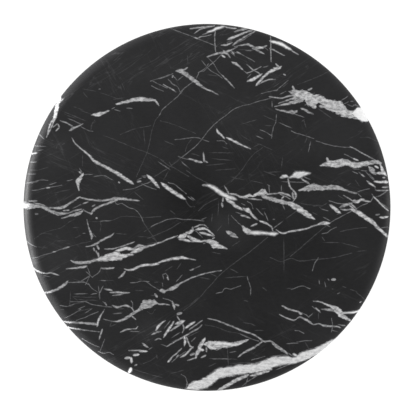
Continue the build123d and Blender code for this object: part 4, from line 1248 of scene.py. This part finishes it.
face_edge = TOP_RADIUS - EDGE_ROUND
under_edge = TOP_RADIUS - UNDER_ARRIS
face_radii = np.linspace(face_edge, 0, FACE_RINGS)[1:]
under_radii = np.linspace(0, under_edge, FACE_RINGS)[:-1]
slab_profile = np.vstack(
    (
        np.column_stack((under_radii, np.full_like(under_radii, TOP_UNDERSIDE))),
        arc((under_edge, TOP_UNDERSIDE + UNDER_ARRIS), UNDER_ARRIS, -90, 0, ARRIS_STEPS),
        arc((face_edge, rim_height), EDGE_ROUND, 0, 90, ROUND_STEPS),
        np.column_stack((face_radii, np.full_like(face_radii, TOP_FACE))),
    )
)
stone_top = turned("stone_top", slab_profile, SLAB_COLUMNS)
finish_piece(stone_top, marble, "table", "marble_top")

# %% [markdown]
# ## Rolled threads
# The levelling feet screw up and down, so their threads come into view. A rolled thread is a helix: going
# once round lifts the ridge by one pitch. On a grid of angle and height that is only a radius that depends
# on the height less the share of a turn, so one array gives the whole screw, hexagon and flange included.

# %% Radius functions of a screw
ROWS_PER_PITCH = 12
FLANK_STEEPNESS = 1.5
THREAD_LEAD = 0.001
SCREW_SHARP_ABOVE = 32


def ridge(angle, height, major, depth, pitch):
    """Radius of a right-hand thread: major less depth times a triangle wave of height/pitch - turns.

    The wave is drawn steeper about its middle and cut off, which leaves flats on the crest and the root.
    """
    phase = (height / pitch - angle / (2 * np.pi)) % 1.0
    wave = np.abs(2.0 * phase - 1.0)
    return major - depth * np.clip(FLANK_STEEPNESS * (wave - 0.5) + 0.5, 0.0, 1.0)


def lead_in(from_end, major, depth):
    """The most radius that a thread's chamfered end allows: the root at the end, the crest further in."""
    return major - depth + depth * np.clip(from_end / THREAD_LEAD, 0.0, 1.0)


def thread_rows(low, high, pitch):
    """Heights along a thread, a dozen for each pitch."""
    return np.linspace(low, high, int(round((high - low) / pitch * ROWS_PER_PITCH)))


def hexagon(angle, across_flats, most):
    """Radius of a hexagon, half its flats over the cosine from the nearest flat, turned down to most."""
    from_flat = (angle + np.pi / 6) % (np.pi / 3) - np.pi / 6
    return np.minimum(across_flats / 2 / np.cos(from_flat), most)


def screw_piece(name, centre, heights, radii):
    """A closed screw: rows of radii over rows of heights, round an upright axis through centre."""
    columns = radii.shape[1]
    angle = angles_round(columns)
    x = centre[0] + radii * np.cos(angle)
    y = centre[1] + radii * np.sin(angle)
    z = np.repeat(heights[:, None], columns, axis=1)
    return closed_grid(name, x, y, z, SCREW_SHARP_ABOVE)


print("thread functions ready")

# %% [markdown]
# ## Zinc-plated steel
# Nuts, washers, screws and stems are zinc plated: bluish silver, a little cloudy, with fine handling
# scratches. The pattern is noise on two scales in the colour, the roughness and a very shallow bump.

# %% Zinc plate
ZINC_TONES = ((0.3, 0.40, 0.41, 0.43), (0.55, 0.56, 0.57, 0.59), (0.75, 0.63, 0.62, 0.58))
ZINC_ROUGHNESS = (0.26, 0.48)
SCRATCH_STRETCH = (1.0, 1.0, 9.0)
SCRATCH_DEPTH = 0.00002


def zinc_finish():
    """Zinc plate: bluish silver metal with cloudy colour and fine scratches."""
    material, tree, shader, place = new_finish("zinc_plate_finish")
    colour = shade(tree, noise(tree, place, 160.0, detail=4.0), *ZINC_TONES)
    scratch = noise(tree, stretched(tree, place, SCRATCH_STRETCH), 420.0, detail=3.0, roughness=0.7)
    coat(tree, shader, colour, vary(tree, scratch, *ZINC_ROUGHNESS))
    shader.inputs["Metallic"].default_value = 1.0
    emboss(tree, shader, scratch, SCRATCH_DEPTH)
    return material


zinc = zinc_finish()
print("zinc nodes:", len(zinc.node_tree.nodes))

# %% [markdown]
# ## Levelling feet
# Each stem has a round flange caught in its nylon pad, a hexagon for the spanner and an M10 thread that
# climbs into the casting. Its stations are listed from the floor up, and the thread fills the rest.

# %% Leveller stems
LEVELLERS = (1, 2, 3, 4)
STEM_COLUMNS = 72
STEM_MAJOR = 0.005
STEM_PITCH = 0.0015
STEM_RIDGE = 0.0009
FLANGE_RADIUS = 0.010
FLANGE_HEIGHT = 0.003
NECK_RADIUS = 0.006
HEXAGON_FROM = 0.008
HEXAGON_TO = 0.012
HEXAGON_FLATS = 0.017
EDGE_BREAK = 0.0004


def stem_rows(low, high):
    """Heights and radii of a stem: flange, neck, hexagon with turned-down corners, then the thread."""
    angle = angles_round(STEM_COLUMNS)
    plain = np.ones(STEM_COLUMNS)
    flange_top = low + FLANGE_HEIGHT
    turned_down = hexagon(angle, HEXAGON_FLATS, HEXAGON_FLATS / 2)
    half_down = hexagon(angle, HEXAGON_FLATS, HEXAGON_FLATS / 2 + 2 * EDGE_BREAK)
    whole = hexagon(angle, HEXAGON_FLATS, HEXAGON_FLATS)
    stations = [
        (low, 0 * plain),
        (low, (FLANGE_RADIUS - EDGE_BREAK) * plain),
        (low + EDGE_BREAK, FLANGE_RADIUS * plain),
        (flange_top - EDGE_BREAK, FLANGE_RADIUS * plain),
        (flange_top, (FLANGE_RADIUS - EDGE_BREAK) * plain),
        (flange_top, NECK_RADIUS * plain),
        (HEXAGON_FROM, NECK_RADIUS * plain),
        (HEXAGON_FROM, turned_down),
        (HEXAGON_FROM + EDGE_BREAK, half_down),
        (HEXAGON_FROM + 2 * EDGE_BREAK, whole),
        (HEXAGON_TO - 2 * EDGE_BREAK, whole),
        (HEXAGON_TO - EDGE_BREAK, half_down),
        (HEXAGON_TO, turned_down),
    ]
    heights = thread_rows(HEXAGON_TO, high, STEM_PITCH)
    thread = ridge(angle, heights[:, None], STEM_MAJOR, STEM_RIDGE, STEM_PITCH)
    from_end = np.minimum(heights - HEXAGON_TO, high - heights)[:, None]
    body = np.minimum(thread, lead_in(from_end, STEM_MAJOR, STEM_RIDGE))
    rows = np.vstack(([radius for _, radius in stations], body, 0 * plain[None]))
    levels = np.concatenate(([height for height, _ in stations], heights, [high]))
    return levels, rows


for number in LEVELLERS:
    stem = f"leveller_stem_{number}"
    stem_low, stem_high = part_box(stem)
    middle = (stem_low + stem_high) / 2
    threaded_stem = screw_piece(f"threaded_stem_{number}", middle, *stem_rows(stem_low.z, stem_high.z))
    finish_piece(threaded_stem, zinc, stem, stem)

# %% [markdown]
# ## Tie rod
# A long rod inside the column pulls bracket, tube and base together. It is plain in the middle and threaded
# where its nuts sit, and its lower end shows in the recess under the base.

# %% Threaded tie rod
ROD_COLUMNS = 48
ROD_MAJOR = 0.006
ROD_PITCH = 0.00175
ROD_RIDGE = 0.00107
ROD_THREADED = 0.045


def rod_rows(low, high):
    """Heights and radii of a rod with a thread at each end and the rolling diameter between."""
    angle = angles_round(ROD_COLUMNS)
    low_thread = thread_rows(low, low + ROD_THREADED, ROD_PITCH)
    high_thread = thread_rows(high - ROD_THREADED, high, ROD_PITCH)
    heights = np.concatenate((low_thread, high_thread))
    thread = ridge(angle, heights[:, None], ROD_MAJOR, ROD_RIDGE, ROD_PITCH)
    from_end = np.minimum(heights - low, high - heights)[:, None]
    run_out = np.clip((ROD_THREADED - from_end) / ROD_PITCH, 0.0, 1.0)
    rolled = ROD_MAJOR - ROD_RIDGE / 2
    body = rolled + (np.minimum(thread, lead_in(from_end, ROD_MAJOR, ROD_RIDGE)) - rolled) * run_out
    pole = np.zeros((1, ROD_COLUMNS))
    return np.concatenate(([low], heights, [high])), np.vstack((pole, body, pole))


rod_low, rod_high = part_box("tie_rod")
threaded_rod = screw_piece("threaded_rod", (0.0, 0.0), *rod_rows(rod_low.z, rod_high.z))
finish_piece(threaded_rod, zinc, "table", "tie_rod")

# %% [markdown]
# ## Powder-coated steel
# The column, the base cover and its collar are powder coated in satin black. Powder melts into a skin with
# a fine orange peel, so the bump has two sizes of noise. Around the foot, shoes leave dull streaks, which
# are a noise stretched sideways and held near the floor.

# %% Powder coat
COAT_TONES = ((0.0, 0.0085, 0.0085, 0.009), (0.45, 0.014, 0.014, 0.0145), (1.0, 0.035, 0.034, 0.033))
SATIN_ROUGHNESS = (0.36, 0.46)
SATIN_SPECULAR = 0.32
PEEL_DEPTH = 0.00005
SCUFF_TOP = 0.07
SCUFF_STRETCH = (1.0, 1.0, 12.0)
SCUFF_RANGE = (0.56, 0.72)


def dress(material, *names):
    """Puts a material on the CAD nodes of these names."""
    for name in names:
        nodes[name].material_slots[0].material = material
    print(material.name, "on", ", ".join(names))


def powder_coat_finish():
    """Satin black powder coat with orange peel, and scuffs near the floor."""
    material, tree, shader, place = new_finish("powder_coat_finish")
    cloud = noise(tree, place, 9.0, detail=4.0)
    near_floor = spread(tree, height_of(tree, place), SCUFF_TOP, SCUFF_TOP / 4)
    sideways = stretched(tree, place, SCUFF_STRETCH)
    streak = spread(tree, noise(tree, sideways, 26.0, detail=6.0, roughness=0.7), *SCUFF_RANGE)
    scuff = maths(tree, "MULTIPLY", streak, near_floor)
    tone = maths(tree, "MULTIPLY_ADD", scuff, 0.5, vary(tree, cloud, 0.0, 0.45))
    satin = maths(tree, "MULTIPLY_ADD", scuff, 0.2, vary(tree, cloud, *SATIN_ROUGHNESS))
    coat(tree, shader, shade(tree, tone, *COAT_TONES), satin)
    shader.inputs["Specular IOR Level"].default_value = SATIN_SPECULAR
    peel = noise(tree, place, 380.0, detail=1.0)
    grit = noise(tree, place, 1500.0, detail=2.0)
    emboss(tree, shader, maths(tree, "MULTIPLY_ADD", grit, 0.35, peel), PEEL_DEPTH)
    return material


dress(powder_coat_finish(), "column_tube", "base_cover", "cover_collar")

# %% [markdown]
# ## Cast iron under paint
# Bracket and base weight come out of sand moulds and get a thin dip coat. The sand's grain stays visible,
# so the bump is coarser and deeper than on the tube, and the coat is duller on the raised grains.

# %% Coated casting
CASTING_TONES = ((0.3, 0.010, 0.010, 0.0105), (0.6, 0.018, 0.018, 0.0185), (0.85, 0.032, 0.031, 0.030))
CASTING_ROUGHNESS = (0.5, 0.68)
SAND_DEPTH = 0.00025
PIT_SCALE = 140.0
PIT_RANGE = (0.06, 0.2)


def casting_finish():
    """Dip-coated cast iron: sand grain, shallow pits and a dull black coat."""
    material, tree, shader, place = new_finish("coated_casting_finish")
    sand = noise(tree, place, 520.0, detail=5.0, roughness=0.65)
    wave = noise(tree, place, 60.0, detail=2.0)
    cells = step(tree, "TexVoronoi", place)
    cells.inputs["Scale"].default_value = PIT_SCALE
    pit = spread(tree, cells.outputs["Distance"], *PIT_RANGE)
    surface = maths(tree, "MULTIPLY_ADD", pit, 0.5, maths(tree, "MULTIPLY_ADD", wave, 0.8, sand))
    tone = maths(tree, "MULTIPLY_ADD", wave, 0.6, maths(tree, "MULTIPLY", sand, 0.5))
    coat(tree, shader, shade(tree, tone, *CASTING_TONES), vary(tree, sand, *CASTING_ROUGHNESS))
    emboss(tree, shader, surface, SAND_DEPTH)
    return material


dress(casting_finish(), "spider_bracket", "base_weight")

# %% [markdown]
# ## Birch plywood
# The backer's faces show flat-cut birch: pale, with long soft flames and short dark flecks. Its edge shows
# the plies, which turn by a right angle from layer to layer, so end grain and long grain alternate. The
# surface normal tells face from edge.

# %% Plywood
PLIES = 9
FACE_TONES = ((0.2, 0.36, 0.22, 0.11), (0.45, 0.56, 0.39, 0.22), (0.7, 0.70, 0.53, 0.34))
EDGE_TONES = ((0.0, 0.09, 0.05, 0.025), (0.35, 0.38, 0.24, 0.13), (0.75, 0.62, 0.45, 0.28))
BIRCH_ROUGHNESS = (0.62, 0.5)
PORE_DEPTH = 0.00006
FLAME_STRETCH = (2.0, 40.0, 1.0)
FLECK_STRETCH = (60.0, 900.0, 1.0)
FLECK_RANGE = (0.62, 0.72)
PLY_CHANGE = (0.42, 0.58)
GLUE_SHARE = 0.06
FACE_NORMALS = (0.8, 0.9)

ply_low, ply_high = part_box("plywood_backer")
PLY_THICKNESS = (ply_high.z - ply_low.z) / PLIES


def plywood_face(tree, flame, fleck):
    """Pale birch with flames, darker in the flecks."""
    tone = maths(tree, "MULTIPLY_ADD", fleck, -0.35, flame)
    return shade(tree, tone, *FACE_TONES)


def plywood_edge(tree, place, pores):
    """Plies that are paler and darker in turn, with a dark glue line where one meets the next."""
    above_low = maths(tree, "SUBTRACT", height_of(tree, place), ply_low.z)
    layer = maths(tree, "DIVIDE", above_low, PLY_THICKNESS)
    turned_ply = spread(tree, maths(tree, "PINGPONG", layer, 1.0), *PLY_CHANGE)
    from_glue = maths(tree, "PINGPONG", maths(tree, "ADD", layer, 0.5), 0.5)
    glue = spread(tree, from_glue, GLUE_SHARE, 0.0)
    tone = maths(tree, "MULTIPLY_ADD", turned_ply, 0.4, maths(tree, "MULTIPLY", pores, 0.5))
    tone = maths(tree, "MULTIPLY_ADD", glue, -0.5, tone)
    return shade(tree, tone, *EDGE_TONES)


def plywood_finish():
    """Birch plywood: flamed faces, and an edge of alternating plies with thin glue lines."""
    material, tree, shader, place = new_finish("birch_plywood_finish")
    flame = noise(tree, stretched(tree, place, FLAME_STRETCH), 3.0, detail=5.0, roughness=0.6)
    fleck = spread(tree, noise(tree, stretched(tree, place, FLECK_STRETCH), 1.0, detail=2.0), *FLECK_RANGE)
    pores = noise(tree, place, 1400.0, detail=3.0)
    upward = height_of(tree, step(tree, "NewGeometry").outputs["Normal"])
    is_face = spread(tree, maths(tree, "ABSOLUTE", upward), *FACE_NORMALS)
    colour = mixed(tree, is_face, plywood_edge(tree, place, pores), plywood_face(tree, flame, fleck))
    coat(tree, shader, colour, vary(tree, flame, *BIRCH_ROUGHNESS))
    emboss(tree, shader, maths(tree, "MULTIPLY_ADD", pores, 0.6, fleck), PORE_DEPTH)
    return material


dress(plywood_finish(), "plywood_backer")

# %% [markdown]
# ## Brass, nylon and plated fasteners
# Inserts are turned brass, a little tarnished. The floor pads are moulded black nylon with a fine spark-
# eroded grain, and their soles are rubbed paler by the floor. Every other fastener has the same zinc plate
# as the stems.

# %% Brass inserts
BRASS_TONES = ((0.3, 0.36, 0.22, 0.07), (0.55, 0.60, 0.42, 0.16), (0.75, 0.72, 0.54, 0.24))
BRASS_ROUGHNESS = (0.25, 0.45)
TURNING_STRETCH = (1.0, 1.0, 20.0)
TURNING_DEPTH = 0.00002


def brass_finish():
    """Turned brass with tarnish clouds and fine turning marks."""
    material, tree, shader, place = new_finish("insert_brass_finish")
    colour = shade(tree, noise(tree, place, 220.0, detail=4.0), *BRASS_TONES)
    turning = noise(tree, stretched(tree, place, TURNING_STRETCH), 300.0, detail=2.0)
    coat(tree, shader, colour, vary(tree, turning, *BRASS_ROUGHNESS))
    shader.inputs["Metallic"].default_value = 1.0
    emboss(tree, shader, turning, TURNING_DEPTH)
    return material


dress(brass_finish(), "threaded_inserts")

# %% Nylon pads
NYLON_TONES = ((0.0, 0.010, 0.010, 0.010), (0.3, 0.018, 0.018, 0.018), (1.0, 0.075, 0.073, 0.07))
NYLON_ROUGHNESS = (0.45, 0.6)
MOULD_GRAIN_DEPTH = 0.00006
SOLE_WEAR = 0.0018
WEAR_RANGE = (0.35, 0.6)


def nylon_finish():
    """Moulded black nylon with a fine grain and a sole rubbed by the floor."""
    material, tree, shader, place = new_finish("black_nylon_finish")
    grain = noise(tree, place, 900.0, detail=3.0)
    blotch = noise(tree, place, 90.0, detail=4.0)
    near_floor = spread(tree, height_of(tree, place), SOLE_WEAR, 0.0)
    rubbed = maths(tree, "MULTIPLY", near_floor, spread(tree, blotch, *WEAR_RANGE))
    tone = maths(tree, "MULTIPLY_ADD", rubbed, 0.7, maths(tree, "MULTIPLY", blotch, 0.3))
    coat(tree, shader, shade(tree, tone, *NYLON_TONES), vary(tree, grain, *NYLON_ROUGHNESS))
    emboss(tree, shader, grain, MOULD_GRAIN_DEPTH)
    return material


dress(nylon_finish(), *(f"leveller_pad_{number}" for number in LEVELLERS))

# %% Plated fasteners
dress(
    zinc,
    "spider_screws",
    "spider_washers",
    "rod_top_nut",
    "rod_top_washer",
    "rod_bottom_nut",
    "rod_spring_washer",
    "rod_bottom_washer",
    "collar_grub_screws",
)

# %% [markdown]
# ## Floor and light
# A pale floor carries the table. For the camera and for reflections it glows almost to white, as a lit
# studio sweep does, and a diffuse part on top of that keeps the table's shadow. A strip lamp on the left,
# with a narrow beam and just under the level of the stone's face, draws the bright line along the left of
# the rounded edge, and the flat face never mirrors it. A faint one on the right lifts the edge there. A
# large softbox models the pedestal. In a studio, flags would keep each lamp off the other's subject; here
# light linking does that.

# %% Floor
FLOOR_HALF_SIDE = 12.0
FLOOR_GLOW = 0.64
FLOOR_ALBEDO = 0.42
WHITE = (1.0, 1.0, 1.0, 1.0)


def seen_directly(tree):
    """One for camera, glossy and transmission rays, zero for the rays that carry diffuse light."""
    path = step(tree, "LightPath")
    seen = maths(tree, "MAXIMUM", path.outputs["Is Camera Ray"], path.outputs["Is Glossy Ray"])
    return maths(tree, "MAXIMUM", seen, path.outputs["Is Transmission Ray"])


def floor_finish():
    """A pale matt floor with a glow that only eyes and reflections see."""
    material, tree = bare_material("pale_floor")
    matt = step(tree, "BsdfDiffuse", (FLOOR_ALBEDO, FLOOR_ALBEDO, FLOOR_ALBEDO, 1.0))
    glow = step(tree, "Emission", WHITE, maths(tree, "MULTIPLY", seen_directly(tree), FLOOR_GLOW))
    show_on_surface(tree, step(tree, "AddShader", matt.outputs[0], glow.outputs[0]))
    return material


floor_mesh = bpy.data.meshes.new("floor")
corners = np.array([(-1, -1, 0), (1, -1, 0), (1, 1, 0), (-1, 1, 0)]) * FLOOR_HALF_SIDE
floor_mesh.from_pydata(corners.tolist(), [], [(0, 1, 2, 3)])
floor = placed("floor", floor_mesh)
floor.data.materials.append(floor_finish())
print("floor side", 2 * FLOOR_HALF_SIDE)

# %% World
world = bpy.data.worlds.new("studio")
bpy.context.scene.world = world
world.use_nodes = True
world_tree = world.node_tree
world_tree.nodes.clear()
background = step(world_tree, "Background", WHITE, 1.0)
world_output = step(world_tree, "OutputWorld")
world_tree.links.new(background.outputs[0], world_output.inputs["Surface"])
bpy.context.scene.view_settings.view_transform = "Standard"
print("a plain white world")

# %% Lamps
LEFT, RIGHT = -1, 1
LAMP_DISTANCE = 1.9
LAMP_WIDTH = 1.5
STRIP_TALL = 0.3
STRIP_UNDER_FACE = 0.01
STRIP_BEAM = 24.0
STRIP_POWER = 10.0
FAINT_STRIP_POWER = 1.3
SOFTBOX_TALL = 1.4
SOFTBOX_HEIGHT = 1.2
SOFTBOX_BEAM = 180.0
SOFTBOX_POWER = 25.0


def side_lamp(name, side, height, tall, beam, power, stone):
    """A rectangle on one side that faces the table, with the stone as its only subject or left out of it."""
    data = bpy.data.lights.new(name, "AREA")
    data.shape = "RECTANGLE"
    data.size = LAMP_WIDTH
    data.size_y = tall
    data.spread = math.radians(beam)
    data.energy = power
    lamp = placed(name, data)
    lamp.location = (side * LAMP_DISTANCE, 0.0, height)
    lamp.rotation_euler = (math.radians(90), 0.0, math.radians(side * 90))
    flag = bpy.data.collections.new(name + "_flag")
    flag.objects.link(stone_top)
    flag.collection_objects[0].light_linking.link_state = stone
    lamp.light_linking.receiver_collection = flag
    print(name, power, "W, height", round(height, 3), "stone", stone)


strip_height = TOP_FACE - STRIP_UNDER_FACE - STRIP_TALL / 2
side_lamp("left_strip", LEFT, strip_height, STRIP_TALL, STRIP_BEAM, STRIP_POWER, "INCLUDE")
side_lamp("right_strip", RIGHT, strip_height, STRIP_TALL, STRIP_BEAM, FAINT_STRIP_POWER, "INCLUDE")
side_lamp("left_softbox", LEFT, SOFTBOX_HEIGHT, SOFTBOX_TALL, SOFTBOX_BEAM, SOFTBOX_POWER, "EXCLUDE")
